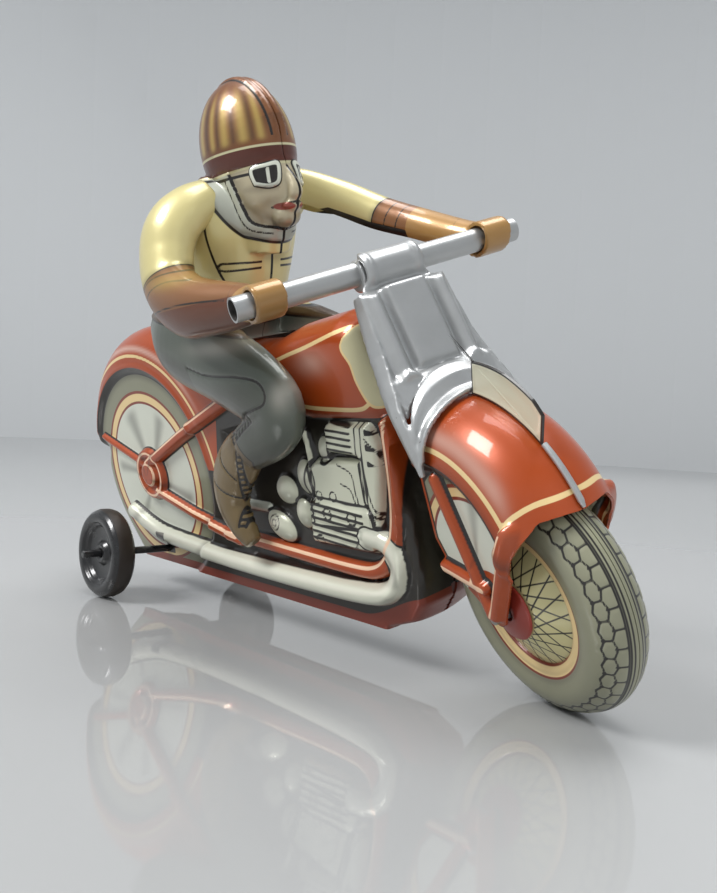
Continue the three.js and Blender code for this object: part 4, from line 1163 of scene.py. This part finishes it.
class TIN_OT_plate(bpy.types.Operator):
    """The blank number plate and the bead along the mudguard's seam"""
    bl_idname = "tin_toy.plate"
    bl_label = "Plate and bead"

    def execute(self, context):
        foot = arc(FORK_MIDDLE, FORK_GUARD_R + 0.3, 85, 49, 24)
        top = []
        for i, (x, z) in enumerate(reversed(foot)):
            share = i / (len(foot) - 1)
            top.append((x + 1.6, z + 6.2 - 0.6 * abs(share - 0.5) - 0.9 * max(0, 0.12 - share) / 0.12))
        outline = foot + top
        plate = from_points("blank_plate", [(x, -0.3, z) for x, z in outline], faces=[range(len(outline))])
        face_out(plate, Vector((0, -1, 0)))
        with editing(plate):
            bpy.ops.mesh.inset(thickness=0.55, depth=0)
            bpy.ops.mesh.inset(thickness=0.35, depth=-0.08)
        modify(plate, "TRIANGULATE")
        modify(plate, "SOLIDIFY", thickness=0.5, offset=-1)
        with editing(plate):
            bpy.ops.mesh.subdivide(number_cuts=2)
        ink(plate, "border", 0.32 - area(outline, corners(plate)[:, [0, 2]]))
        soften(plate)
        hand_in(plate, FORK, "fork", ["number_plate"], [material("plate")])
        line = arc(FORK_MIDDLE, FORK_GUARD_R + 0.6, 48.5, 25.6, 20)
        radii = [0.55 * min(1, 0.5 + 5 * (1 - i / (len(line) - 1))) for i in range(len(line))]
        bead = ringed_tube("seam_bead", [(x, 0, z) for x, z in line], radii)
        soften(bead, 60)
        hand_in(bead, FORK, "fork", ["mudguard_bead"], [material("silver")])
        return {"FINISHED"}


def around(middle, across, up, sides):
    """A closed ring of points about a middle."""
    return [middle + across * math.cos(t) + up * math.sin(t)
            for t in np.linspace(0, 2 * math.pi, sides, endpoint=False)]


def ringed_tube(name, path, radii, sides=20):
    """A closed tube of changing radius along a path of points."""
    points = [Vector(p) for p in path]
    rows = []
    for before, point, after, radius in zip(points[:1] + points, points, points[1:] + points[-1:], radii):
        along = (after - before).normalized()
        across = Vector((0, 1, 0)).cross(along).normalized()
        rows.append(around(point, across * radius, along.cross(across).normalized() * radius, sides))
    return closed_rows(name, rows)


def closed_rows(name, rows):
    """A piece with faces between closed rings of points, and both ends filled."""
    sides = len(rows[0])
    faces = []
    for start in range(0, (len(rows) - 1) * sides, sides):
        for k in range(sides):
            a, b = start + k, start + (k + 1) % sides
            faces.append((a, b, b + sides, a + sides))
    last = (len(rows) - 1) * sides
    faces += [range(sides), range(last, last + sides)]
    piece = from_points(name, [point for row in rows for point in row], faces=faces)
    outward(piece)
    return piece


# -------------------------------------------------------------------- rider

def limb(name, rings, sides=28, steps=6):
    """A limb or trunk: (middle, half width, half depth) rings along a smooth line."""
    packed = curve([(*at, wide, deep) for at, wide, deep in rings], steps)
    rows = []
    for before, now, after in zip(packed[:1] + packed, packed, packed[1:] + packed[-1:]):
        along = (Vector(after[:3]) - Vector(before[:3])).normalized()
        across = (Vector((0, 1, 0)) - along * along.y).normalized()
        out = across.cross(along).normalized()
        rows.append(around(Vector(now[:3]), across * now[3], out * now[4], sides))
    return closed_rows(name, rows)


def ball(name, middle, radii):
    deselect()
    bpy.ops.mesh.primitive_uv_sphere_add(segments=48, ring_count=28, radius=1, location=middle, scale=radii)
    piece = named(name)
    settle(piece)
    return piece


def merge(name, parts, voxel, rounds):
    """Joins closed shapes into one smooth skin."""
    join(parts)
    piece = named(name)
    modify(piece, "REMESH", mode="VOXEL", voxel_size=voxel)
    modify(piece, "SMOOTH", iterations=rounds, factor=0.5)
    return piece


TRUNK = [((33.5, 0, 70.2), 12.6, 15), ((35, 0, 76), 11.6, 14.5), ((39.5, 0, 83), 11.6, 14.2),
         ((44.5, 0, 91.5), 12.6, 13.2), ((48, 0, 97.5), 13.2, 11), ((50.4, 0, 101.8), 11, 8.4),
         ((51.8, 0, 104.6), 6, 6)]
NECK = [((52, 0, 90), 6.6, 8.2), ((54.5, 0, 97), 7.4, 8.4), ((55.5, 0, 103), 7.8, 8.6), ((55, 0, 108), 7.6, 8.6)]
LEG = [((27, -9.6, 75), 5.5, 7), ((34, -12, 71.4), 5.8, 9.6), ((50, -13.4, 66.2), 5.4, 9.2),
       ((62, -14.2, 61.6), 5.0, 8.6), ((69, -14.2, 57), 4.4, 7.2), ((66.4, -14, 52.6), 4.2, 6.4),
       ((60.4, -13.9, 49.6), 4.0, 5.8), ((56.6, -13.8, 48), 3.8, 5.4)]
BOOT = [((58, -13.8, 49), 3.2, 4.6), ((52.6, -13.6, 45.6), 3.4, 5.8), ((47, -13.4, 40), 3.3, 6.2),
        ((45.4, -13.3, 34), 3.2, 5.2), ((47.8, -13.2, 28.6), 2.9, 4.0), ((50.6, -13.2, 24.8), 2.0, 2.2)]
OFF = -5.0                                   # well outside a printed shape
SEAT_TOP = 69.9
LEG_IN = 11.9                                # the body starts here, so the legs stay outside
EYE_FRAME = [(-2.7, -1.9), (0.4, -2.7), (2.6, -2.0), (3.2, 0.4), (2.8, 2.3), (0, 2.2), (-2.9, 1.8), (-3.3, 0.2)]


def rider_fields(co):
    x, y, z = co[:, 0], np.abs(co[:, 1]), co[:, 2]
    at = co[:, [0, 2]]
    across = 0.683 * x - 0.7305 * y                  # towards the side of the face
    helmet = z - 104.3 - 0.05 * (x - 54)
    band = np.minimum(helmet, 108.2 + 0.03 * (x - 54) - z)
    hood_edge = curve([(56.4, 108), (56.9, 103.5), (57.9, 100.2), (58.4, 97), (59, 94.4), (61.2, 92.9), (66, 91.6),
                       (76, 91), (78, 98), (74, 108)])
    face = np.minimum(area(hood_edge, at), z - 91.5)
    bib = 1 - np.sqrt((y / 11.4) ** 2 + ((z - 102) / 12.4) ** 2)
    scarf = np.minimum(9.5 * bib, x - 46.5 + 0.2 * (104 - z))
    waist = 74.4 + 0.17 * (57 - x)
    boots = np.where(z < 54, area([(30, 20), (62, 20), (56, 40), (60.6, 45.4), (56.4, 50.6), (52, 51.6), (47, 50.6),
                                   (36, 46), (30, 30)], at), OFF)
    side = [stroke(curve(points), width, at) for points, width in (
        ([(44, 66), (50, 64.6), (56, 64.2), (63, 64), (68.4, 63), (70.6, 60.6), (70, 58.4), (66.6, 57.2),
          (62.8, 56)], 0.27),
        ([(62.8, 56), (58.6, 53.4), (55.6, 51.6), (53, 50.4)], 0.25),
        ([(64, 54.6), (60, 52.4), (57, 50.4), (54.6, 49)], 0.25),
        ([(55.2, 47.6), (53.6, 42), (51.6, 36.8), (49.2, 29)], 0.25),
        ([(56.8, 46.6), (55, 41.4), (53, 36.4), (50.8, 29)], 0.25),
        ([(40.6, 41.6), (45, 38.2), (51.6, 35.6)], 0.25),
        ([(47.6, 49.6), (48, 45), (52.2, 40.4)], 0.25),
    )]
    for along, pitch, wide, line, reach in (
            (x * 0.9 + z * 0.5, 1.6, 0.36, [(63.4, 55.3), (53.8, 49.7)], 0.75),
            (z, 1.4, 0.34, [(55.9, 46.6), (50.1, 29.4)], 0.7)):
        lace = wide - np.abs(along / pitch - np.round(along / pitch)) * pitch
        side.append(np.minimum(lace, stroke(line, reach, at)))
    chest = [stroke(curve(points), width, at) for points, width in (
        ([(50.6, 86.4), (51.6, 86.8), (57, 86.2), (62.6, 86.6), (63.4, 86)], 0.25),
        ([(50.6, 85.6), (51.6, 85.2), (57, 85), (62.6, 85.2), (63.4, 86)], 0.25),
        ([(51.6, 97), (50.4, 91), (50.2, 84), (51.4, 75.2)], 0.27),
    )]
    goggles = area(curve(EYE_FRAME + EYE_FRAME[:1], 4)[:-1], np.column_stack([across - 40.7, z - 102.8]))
    lens = np.minimum(goggles - 0.85, y - 1.4)
    mouth = np.minimum(oval((43.5, 96.3), 2.4, 0.75, -6, np.column_stack([across, z])), x - 60)
    fold_line = stroke(curve([(55.2, 103.6), (56.4, 99), (57, 95.6), (58.2, 93), (61, 91.6)]), 0.2, at)
    drawing = highest(
        *(np.where(z < 73, field, OFF) for field in side),
        *(np.where((z > 76) & (y > 2.5), field, OFF) for field in chest),
        np.where((z > 76) & (z < 104.4), np.minimum(0.32 - y, x - 50), OFF),
        np.where(z > 110, 0.24 - np.abs(y - 1.9), OFF),
        np.where(x > 60, np.minimum(0.22 - np.abs(z - 96.5 - (across - 42) * 0.1), across - 40.6), OFF),
        np.where(z < 104, stroke(hood_edge[6:40], 0.27, at), OFF),
        np.where(y > 2, fold_line, OFF),
        np.where(y > 3, lowest(0.3 - np.abs(z - 103.4), x - 49, 63.4 - x), OFF))
    fold = area([(20, 62), (42, 58.6), (56, 61), (74, 62), (80, 50), (60, 42), (52, 50)], at)
    bearing = np.degrees(np.arctan2(y, x - 53.4))
    # Streaks round the helmet: the gold ones are painted highlights, the brown ones painted shade.
    gold_highlight, brown = (highest(*(np.exp(-((bearing - middle) / wide) ** 2) for middle, wide in bands)) for bands in (
        ((84, 5), (62, 6.5), (38, 6), (112, 7), (20, 4)),
        ((97, 5.5), (73, 4), (50, 4), (128, 6), (29, 4))))
    fade = smooth(122, 116, z) * smooth(0, 1.4, helmet - 4.2)
    shade = highest(
        0.35 * (1 - smooth(0, 1.6, helmet)) * smooth(0, 0.1, helmet),
        0.5 * (1 - smooth(0, 3.0, scarf)) * smooth(0, 0.1, scarf) * (face < 0),
        0.45 * (1 - smooth(0, 5, z - waist)) * (z > waist),
        0.6 * (1 - smooth(0, 4.5, face)) * (face > 0) * (z < 103),
        0.5 * np.exp(-((z - 100.4) / 0.9) ** 2) * (face > 0) * (across < 43),
        0.45 * spot_light(across, z, (41, 97.6), 2.2, 1.2) * (face > 0),
        0.55 * smooth(-3, 1, fold) * (z < 63) * (z > 44) * smooth(80, 62, x),
        0.6 * (1 - smooth(0, 3, z - 66 - 0.3 * (40 - x))) * (x < 44) * (z > 60) * (z < 74),
        0.9 * brown * fade)
    shade = np.where(band > 0, 0.3 * smooth(0.3, 0, np.abs(band - 2)), shade)
    light = np.maximum(0.6 * spot_light(x, z, (56, 70), 9, 1.8) * (z < 73), 0.5 * spot_light(x, z, (74, 60), 2, 3))
    return {
        "helmet": helmet, "band": band, "face": face, "scarf": scarf, "belt": np.minimum(waist - z, z - waist + 2.3),
        "trousers": waist - 2.2 - z, "boots": boots, "drawing": drawing,
        "frame": lowest(goggles, y - 0.9, x - 58), "lens": lens,
        "glint": np.minimum(0.34 - np.abs(across - 41.2), lens - 0.1), "lips": mouth,
        "gold_highlight": np.clip(0.75 * gold_highlight * fade, 0, 1), "shade": np.clip(shade, 0, 1), "light": np.clip(light, 0, 1),
    }


class TIN_OT_rider(bpy.types.Operator):
    """The rider's two body halves, from helmet to boots"""
    bl_idname = "tin_toy.rider"
    bl_label = "Rider"

    def execute(self, context):
        sizes = context.scene.tin_sizes
        head = ball("head", (57.2, 0, 101.6), (9.2, 7.5, 9.6))
        chin = ball("chin", (63.4, 0, 94.6), (3.0, 3.2, 2.4))
        nose = limb("nose", [((65.2, 0, 103.4), 1.0, 1.2), ((67, 0, 100.6), 1.2, 1.6), ((67.6, 0, 98.8), 1.5, 1.5),
                             ((66.2, 0, 97.8), 1.2, 0.9)])
        lips = ball("lips", (66, 0, 96.4), (1.8, 2.4, 1.3))
        helmet = ball("helmet", (0, 0, 0), (11.3, 8.8, 13.9))
        helmet.data.transform(Matrix.Translation((53.9, 0, 109.4)) @ Matrix.Rotation(math.radians(-13), 4, "Y"))
        parts = [head, chin, nose, lips, helmet, limb("trunk", TRUNK, 40), limb("neck", NECK), limb("leg", LEG, 32),
                 limb("boot", BOOT, 24)]
        rider = merge("rider_skin_right", parts, sizes.rider_voxel / MM, 4)
        co = corners(rider)
        co[(co[:, 2] < SEAT_TOP) & (co[:, 1] > -LEG_IN), 1] = -LEG_IN
        move_corners(rider, co)
        with editing(rider):
            bpy.ops.mesh.bisect(plane_co=(0, -SEAM, 0), plane_no=(0, 1, 0), clear_outer=True, use_fill=True)
        outward(rider)
        co = corners(rider)
        y, z = co[:, 1], co[:, 2]
        fields = rider_fields(co)
        swell = 0.35 * smooth(-0.2, 0.5, fields["helmet"]) * (z > 100)
        swell += 0.45 * smooth(-0.1, 0.3, fields["frame"]) - 0.3 * smooth(0, 0.4, fields["lens"])
        swell += 0.5 * smooth(-0.2, 0.7, fields["scarf"]) * (fields["face"] < 0) * (z < 104.6)
        swell += 0.35 * smooth(0, 0.5, fields["belt"])
        swell += 0.6 * smooth(1.9, 1.3, np.abs(y)) * smooth(109, 112, z)
        swell -= 0.3 * smooth(0.5, 0.1, np.abs(y)) * smooth(109, 112, z)
        swell -= 0.25 * smooth(-0.2, 0.1, fields["drawing"]) * (z < 72)
        flat = y > -SEAM - 0.01
        shift = normals(rider) * swell[:, None]
        shift[flat, 1] = 0
        co = co + shift
        co[:, 1] = np.minimum(co[:, 1], -SEAM)
        move_corners(rider, co)
        for key, values in fields.items():
            ink(rider, key, values)
        soften(rider, 45)
        hand_in_both(rider, "rider_skin_left", MACHINE, "root", "rider_half_", [material("rider")])
        return {"FINISHED"}


GLOVE_MIDDLE = 24.8
GLOVE_LENGTH = 6.0
GLOVE_ROOM = (1.3, 0.3)                      # slack of a bar in its glove, ahead and up


def on_bar(side):
    """The middle of a glove in the machine's frame."""
    point = HEAD @ Vector((0, side * GLOVE_MIDDLE, BAR_UP))
    return MACHINE.inverted() @ point


def arm_rings(side):
    middle = on_bar(side)
    grip = (middle.x - 2.6, middle.y, middle.z)
    if side < 0:
        return [((50, -8.6, 101), 3.6, 4.4), ((48.4, -13.9, 98.6), 4.6, 5.8), ((47, -17.8, 95), 5.2, 6.6),
                ((46.8, -20, 89.5), 5.2, 7), ((49.4, -21.8, 83.4), 5.2, 6.8), ((56.6, -23.2, 79.6), 5.2, 6.8),
                ((64.4, -23.8, 78.6), 4.9, 5.6),
                ((middle.x - 7.6, middle.y, middle.z - 0.2), 3.9, 4.2), (grip, 3.4, 3.2)]
    return [((50, 8.8, 101.6), 3.4, 4.2), ((52.4, 13.6, 100.6), 4.2, 5.2), ((61, 18.8, 96.6), 4.5, 4.8),
            ((70, 22, 92), 4.3, 4.4), ((80, 24, 88.4), 3.9, 3.9), ((middle.x - 7, middle.y, middle.z + 1.0), 3.6, 3.5),
            (grip, 3.4, 3.2)]


def glove_sleeve(name, side, grow_ahead, grow_up, length):
    """The oval sleeve of a hand round its bar."""
    deselect()
    bpy.ops.mesh.primitive_cylinder_add(vertices=40, radius=1, depth=length, location=(0, side * GLOVE_MIDDLE, BAR_UP),
                                        rotation=(math.pi / 2, 0, 0),
                                        scale=(BAR_R + grow_ahead, BAR_R + grow_up, 1))
    sleeve = named(name)
    settle(sleeve)
    sleeve.data.transform(MACHINE.inverted() @ HEAD)
    return sleeve


def subtract(piece, tool):
    modify(piece, "BOOLEAN", operation="DIFFERENCE", object=tool, solver="EXACT")
    bpy.data.objects.remove(tool)


FORK_ACROSS = (MACHINE.inverted() @ HEAD).to_3x3() @ Vector((0, 1, 0))


def stroke_3d(co, middle, way, radius):
    """How far inside a cylinder along a line each point lies."""
    off = co - np.array(middle)
    along = off @ np.array(way.normalized())
    return radius - np.linalg.norm(off - along[:, None] * np.array(way.normalized()), axis=1)


class TIN_OT_arms(bpy.types.Operator):
    """The rider's arms, with gauntlets that hold the bars"""
    bl_idname = "tin_toy.arms"
    bl_label = "Arms"

    def execute(self, context):
        sizes = context.scene.tin_sizes
        for side, word in ((-1, "right"), (1, "left")):
            rings = arm_rings(side)
            sleeve = glove_sleeve("sleeve", side, GLOVE_ROOM[0] + 0.75, GLOVE_ROOM[1] + 0.75, GLOVE_LENGTH)
            arm = merge("arm_skin_" + word, [limb("arm", rings, 32), sleeve], sizes.rider_voxel / MM, 3)
            if side > 0:
                low = [((at[0], at[1], at[2] - 2.2), wide - 0.7, deep - 0.6) for at, wide, deep in rings[1:-1]]
                subtract(arm, limb("hollow", low, 24))
            subtract(arm, glove_sleeve("bore", side, *GLOVE_ROOM, GLOVE_LENGTH + 8))
            subtract(arm, limb("chest", TRUNK, 40))
            outward(arm)
            self.paint(arm, side, rings)
            soften(arm, 45)
            hand_in(arm, MACHINE, "root", ["rider_arm_" + word], [material("arm")])
        return {"FINISHED"}

    def paint(self, arm, side, rings):
        co = corners(arm)
        x, z = co[:, 0], co[:, 2]
        bar = on_bar(side)
        none = np.full(len(co), -1.0)
        gauntlet_shade, hollow_shade, shade, gold_highlight = none, none, 0, 0
        if side < 0:
            at = co[:, [0, 2]]
            cuff = area(curve([(38.5, 80), (45, 83.4), (50.5, 86.2), (56, 87.6), (64, 87.2), (72, 86), (95, 90),
                               (100, 70), (60, 60), (40, 66)]), at)
            lines = [stroke(curve(points), 0.17, at) for points in (
                [(42.5, 80.6), (48, 84.4), (54, 86), (62, 86), (70, 84.4)],
                [(45, 80), (50, 83), (56, 84.4), (63, 84.2)])]
            ridge = 0.18 - np.abs(z - 79.3 - 0.06 * (x - 55) + 0.004 * (x - 60) ** 2)
            lines.append(np.where((x > 42) & (x < 76), ridge, OFF))
            hand = stroke_3d(co, bar, FORK_ACROSS, 4.6)
            # Painted shade: the gauntlet is darker below its ridge line.
            gauntlet_shade = np.minimum(cuff, 78.8 - z + 0.06 * (x - 55))
            # Painted shade on the lower gauntlet, and a painted highlight along its top.
            shade = 0.35 * smooth(0, -5, z - np.interp(x, [40, 100], [84, 82]))
            gold_highlight = 0.5 * spot_light(x, z, (56, 84.5), 9, 1.6)
        else:
            cuff = x - 0.42 * (z - 92) - 70.5
            lines = [0.17 - np.abs(cuff - offset) for offset in (3.2, 6.2)]
            hand = x - 79 + 0.3 * (92 - z)
            # Painted shade: the far arm's open, hollow underside is painted black.
            route = np.array([at for at, _, _ in rings[2:]])
            hollow_shade = np.minimum(np.interp(x, route[:, 0], route[:, 2]) - 0.6 - z, 78 - x)
        knuckle = np.minimum(0.16 - np.abs(x - bar.x + 6.2), bar.z + 5 - z)
        ink(arm, "cuff", cuff)
        ink(arm, "drawing", highest(*lines, knuckle - 0.05))
        ink(arm, "hollow_shade", hollow_shade)
        ink(arm, "hand", hand)
        ink(arm, "gauntlet_shade", gauntlet_shade)
        ink(arm, "gold_highlight", gold_highlight + np.zeros(len(co)))
        ink(arm, "shade", np.clip(0.5 * (1 - smooth(0, 1.6, np.abs(cuff))) + shade, 0, 1))


# ------------------------------------------------------- motor and fasteners

class TIN_OT_motor(bpy.types.Operator):
    """Finishes for the clockwork and the small steel parts, and the winding key"""
    bl_idname = "tin_toy.motor"
    bl_label = "Motor and small parts"

    def execute(self, context):
        finishes = {"bare_steel": "steel", "brass": "brass"}
        for name, node in frame["nodes"].items():
            for slot in node.material_slots:
                finish = finishes.get(slot.material.name.split(".")[0])
                if finish and name != "winding_key":
                    slot.material = material(finish)
        low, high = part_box("winding_key")
        middle = (low + high) / 2 / MM
        inner, outer = low.y / MM, high.y / MM
        barrel = spun("key_grip", [(1.25, 0), (2.1, 0), (2.4, 0.3), (2.4, 5.4), (2.0, 6), (0.01, 6), (0.01, 5.2),
                                   (1.25, 5.2)], steps=40)
        barrel.data.transform(Matrix.Translation((0, inner, 0)))
        parts = [barrel]
        for shift in (-3.4, 3.4):
            bpy.ops.mesh.primitive_torus_add(major_radius=3.3, minor_radius=1.0, major_segments=40, minor_segments=14,
                                             rotation=(0, math.pi / 2, 0), location=(0, outer - 4.3, shift))
            wing = named("wing")
            settle(wing)
            co = corners(wing)
            co[:, 0] *= 0.6
            move_corners(wing, co)
            parts.append(wing)
        join(parts)
        barrel.data.transform(Matrix.Translation((middle.x, 0, middle.z)))
        soften(barrel, 45)
        hand_in(barrel, Matrix.Scale(MM, 4), "winder", ["winding_key"], [material("steel")])
        return {"FINISHED"}


# --------------------------------------------------------------------- stage

def eye_way(azimuth, elevation):
    return Vector((math.sin(azimuth) * math.cos(elevation), -math.cos(azimuth) * math.cos(elevation),
                   math.sin(elevation)))


# Each light: name, place, size, power, and whether it shows in gloss.
LIGHTS = [
    ("key", (-0.25, -0.65, 0.75), (0.36, 0.36), 9.4, True),
    ("fill", (0.75, -0.25, 0.45), (0.45, 0.45), 3.2, False),
    ("top", (0.0, 0.1, 0.95), (0.55, 0.55), 5.4, True),
    ("back", (-0.2, 0.75, 0.5), (0.6, 0.5), 4.0, False),
]
LIGHT_AIM = (0.01, 0, 0.05)


def soft_light(name, place, size, power, glossy):
    data = bpy.data.lights.new(name, "AREA")
    data.shape = "RECTANGLE"
    data.size, data.size_y = size
    data.energy = power
    lamp = bpy.data.objects.new(name, data)
    bpy.context.scene.collection.objects.link(lamp)
    lamp.location = place
    lamp.rotation_euler = (Vector(place) - Vector(LIGHT_AIM)).to_track_quat("Z", "Y").to_euler()
    lamp.visible_glossy = glossy


class TIN_OT_stage(bpy.types.Operator):
    """A pale glossy floor, a plain backdrop, soft lights and the camera"""
    bl_idname = "tin_toy.stage"
    bl_label = "Stage"

    def execute(self, context):
        view = context.scene.tin_view
        deselect()
        bpy.ops.mesh.primitive_plane_add(size=2.4, location=(0, 0, -0.0002))
        floor = named("floor")
        settle(floor)
        glossy, tree, shader = new_material("pale_gloss", view.floor, 0.09, 0.0)
        haze = noise(tree, 6.0, 3.0)
        rough = math_node(tree, "ADD", math_node(tree, "MULTIPLY", haze, 0.03), 0.015)
        tree.links.new(rough, shader.inputs["Roughness"])
        floor.data.materials.append(glossy)
        deselect()
        bpy.ops.mesh.primitive_cylinder_add(vertices=96, radius=1.15, depth=1.6, end_fill_type="NOTHING",
                                            location=(0, 0, 0.7999))
        backdrop = named("backdrop")
        settle(backdrop)
        backdrop.data.flip_normals()
        wall, tree, shader = new_material("pale_backdrop", view.backdrop, 0.9, 0.0)
        backdrop.data.materials.append(wall)
        world = bpy.data.worlds.new("studio")
        context.scene.world = world
        world.use_nodes = True
        world.node_tree.nodes["Background"].inputs["Color"].default_value = (0.9, 0.94, 1.0, 1)
        world.node_tree.nodes["Background"].inputs["Strength"].default_value = 0.42
        for light in LIGHTS:
            soft_light(*light)
        data = bpy.data.cameras.new("view")
        data.sensor_width = view.film
        data.lens = view.lens
        data.shift_x = view.shift_x
        data.shift_y = view.shift_y
        data.clip_start = 0.005
        camera = bpy.data.objects.new("view", data)
        context.scene.collection.objects.link(camera)
        back = eye_way(view.azimuth, view.elevation)
        right = (-back).cross(Vector((0, 0, 1))).normalized()
        up = right.cross(-back)
        c, s = math.cos(view.roll), math.sin(view.roll)
        across, above = right * c + up * s, up * c - right * s
        camera.location = Vector(view.target) + back * view.distance
        turn = Matrix((across, above, back)).transposed()
        camera.rotation_euler = turn.to_euler()
        context.scene.camera = camera
        context.scene.view_settings.view_transform = "Standard"
        return {"FINISHED"}


# --------------------------------------------------------------- properties

def size_prop(name, text, millimetres):
    return bpy.props.FloatProperty(name=name, description=text, default=millimetres * MM, unit="LENGTH", min=0.0001)


def colour_prop(name, text, value):
    return bpy.props.FloatVectorProperty(name=name, description=text, default=value, size=3, subtype="COLOR",
                                         min=0.0, max=1.0)


class TinSizes(bpy.types.PropertyGroup):
    sheet: size_prop("Sheet", "Thickness of the tin sheet", 0.5)
    body_pitch: size_prop("Body mesh", "Spacing of the body pressing's mesh", 0.41)
    fork_pitch: size_prop("Fork mesh", "Spacing of the mudguard and shield mesh", 0.3)
    rider_voxel: size_prop("Rider mesh", "Spacing of the rider's mesh", 0.4)
    shield_voxel: size_prop("Shield mesh", "Spacing of the shield's mesh", 0.33)


class TinPaints(bpy.types.PropertyGroup):
    red: colour_prop("Red", "Orange red of the bodywork", (0.39, 0.058, 0.006))
    dark_red: colour_prop("Dark red", "Rings and bottom flange", (0.22, 0.03, 0.012))
    hub: colour_prop("Hub red", "Front hub discs", (0.36, 0.04, 0.025))
    stripe: colour_prop("Stripe", "Pinstripes and rings", (0.83, 0.62, 0.3))
    nose: colour_prop("Cream", "Cream nose of the tank and plate", (0.62, 0.58, 0.36))
    gleam: colour_prop("Gleam", "Printed highlights on tubes", (0.9, 0.6, 0.4))
    white: colour_prop("White", "Wheel discs and goggle frames", (0.68, 0.7, 0.6))
    metal: colour_prop("Engine", "Printed engine metal", (0.66, 0.67, 0.53))
    pipe: colour_prop("Exhaust", "Printed exhaust pipe", (0.68, 0.69, 0.57))
    tyre: colour_prop("Tyre", "Grey-olive tyre", (0.25, 0.25, 0.17))
    spoked: colour_prop("Spoked disc", "Cream ground behind the spokes", (0.72, 0.66, 0.34))
    line: colour_prop("Line", "Black printed outlines", (0.012, 0.011, 0.01))
    ground: colour_prop("Ground", "Dark ground behind the engine", (0.02, 0.017, 0.013))
    silver: colour_prop("Silver", "Silver paint of the handlebar pressing", (0.56, 0.57, 0.57))
    jacket: colour_prop("Jacket", "Cream jacket", (0.68, 0.6, 0.28))
    trousers: colour_prop("Trousers", "Grey-green trousers", (0.09, 0.105, 0.085))
    boots: colour_prop("Boots", "Brown-olive boots", (0.16, 0.11, 0.045))
    belt: colour_prop("Belt", "Brown ribbed belt", (0.08, 0.045, 0.02))
    glove: colour_prop("Gloves", "Tan hands", (0.4, 0.22, 0.07))
    gauntlet: colour_prop("Gauntlets", "Brown gauntlets", (0.25, 0.105, 0.035))
    # Painted shade for the lower side of the gauntlets.
    gauntlet_shade: colour_prop("Gauntlet shade", "Dark underside of the gauntlets", (0.15, 0.045, 0.018))
    plate: colour_prop("Plate", "Cream of the blank number plate", (0.66, 0.66, 0.5))
    scarf: colour_prop("Scarf", "White-grey hood and scarf", (0.5, 0.52, 0.44))
    face: colour_prop("Face", "Printed face", (0.5, 0.44, 0.3))
    lips: colour_prop("Lips", "Printed mouth", (0.28, 0.06, 0.04))
    helmet: colour_prop("Helmet", "Copper-brown helmet", (0.2, 0.075, 0.025))
    band: colour_prop("Helmet band", "Dark band of the helmet", (0.09, 0.02, 0.01))


class TinView(bpy.types.PropertyGroup):
    azimuth: bpy.props.FloatProperty(name="Azimuth", description="Camera turn round the toy", subtype="ANGLE",
                                     default=math.radians(46.93))
    elevation: bpy.props.FloatProperty(name="Elevation", description="Camera height angle", subtype="ANGLE",
                                       default=math.radians(3.083))
    roll: bpy.props.FloatProperty(name="Roll", description="Camera roll", subtype="ANGLE",
                                  default=math.radians(2.876))
    distance: bpy.props.FloatProperty(name="Distance", description="Camera to target", unit="LENGTH", default=0.19236)
    target: bpy.props.FloatVectorProperty(name="Target", description="Point the camera looks at", unit="LENGTH",
                                          size=3, default=(0.01031, 0.01457, 0.03933))
    film: bpy.props.FloatProperty(name="Film", description="Sensor size in millimetres", default=36.0)
    lens: bpy.props.FloatProperty(name="Lens", description="Focal length in millimetres", default=33.58)
    shift_x: bpy.props.FloatProperty(name="Shift X", description="Sideways shift", default=-0.001)
    shift_y: bpy.props.FloatProperty(name="Shift Y", description="Upward shift", default=0.0215)
    floor: colour_prop("Floor", "Pale floor", (0.33, 0.335, 0.335))
    backdrop: colour_prop("Backdrop", "Plain backdrop", (0.57, 0.585, 0.595))


OPERATORS = (TIN_OT_body, TIN_OT_fork, TIN_OT_front_wheel, TIN_OT_outriggers, TIN_OT_shield, TIN_OT_plate, TIN_OT_rider,
             TIN_OT_arms, TIN_OT_motor, TIN_OT_stage)


class TIN_PT_panel(bpy.types.Panel):
    bl_idname = "TIN_PT_panel"
    bl_label = "Tin motorcycle"
    bl_space_type = "VIEW_3D"
    bl_region_type = "UI"
    bl_category = "Tin Toy"

    def draw(self, context):
        for operator in OPERATORS:
            self.layout.operator(operator.bl_idname)
        for group in (context.scene.tin_sizes, context.scene.tin_paints, context.scene.tin_view):
            box = self.layout.box()
            for key in type(group).__annotations__:
                box.prop(group, key)


CLASSES = (TinSizes, TinPaints, TinView, *OPERATORS, TIN_PT_panel)


def register():
    for item in CLASSES:
        bpy.utils.register_class(item)
    bpy.types.Scene.tin_sizes = bpy.props.PointerProperty(type=TinSizes)
    bpy.types.Scene.tin_paints = bpy.props.PointerProperty(type=TinPaints)
    bpy.types.Scene.tin_view = bpy.props.PointerProperty(type=TinView)


def unregister():
    del bpy.types.Scene.tin_sizes
    del bpy.types.Scene.tin_paints
    del bpy.types.Scene.tin_view
    for item in reversed(CLASSES):
        bpy.utils.unregister_class(item)


def main():
    register()
    for operator in OPERATORS:
        family, name = operator.bl_idname.split(".")
        getattr(getattr(bpy.ops, family), name)()


if __name__ == "__main__":
    main()
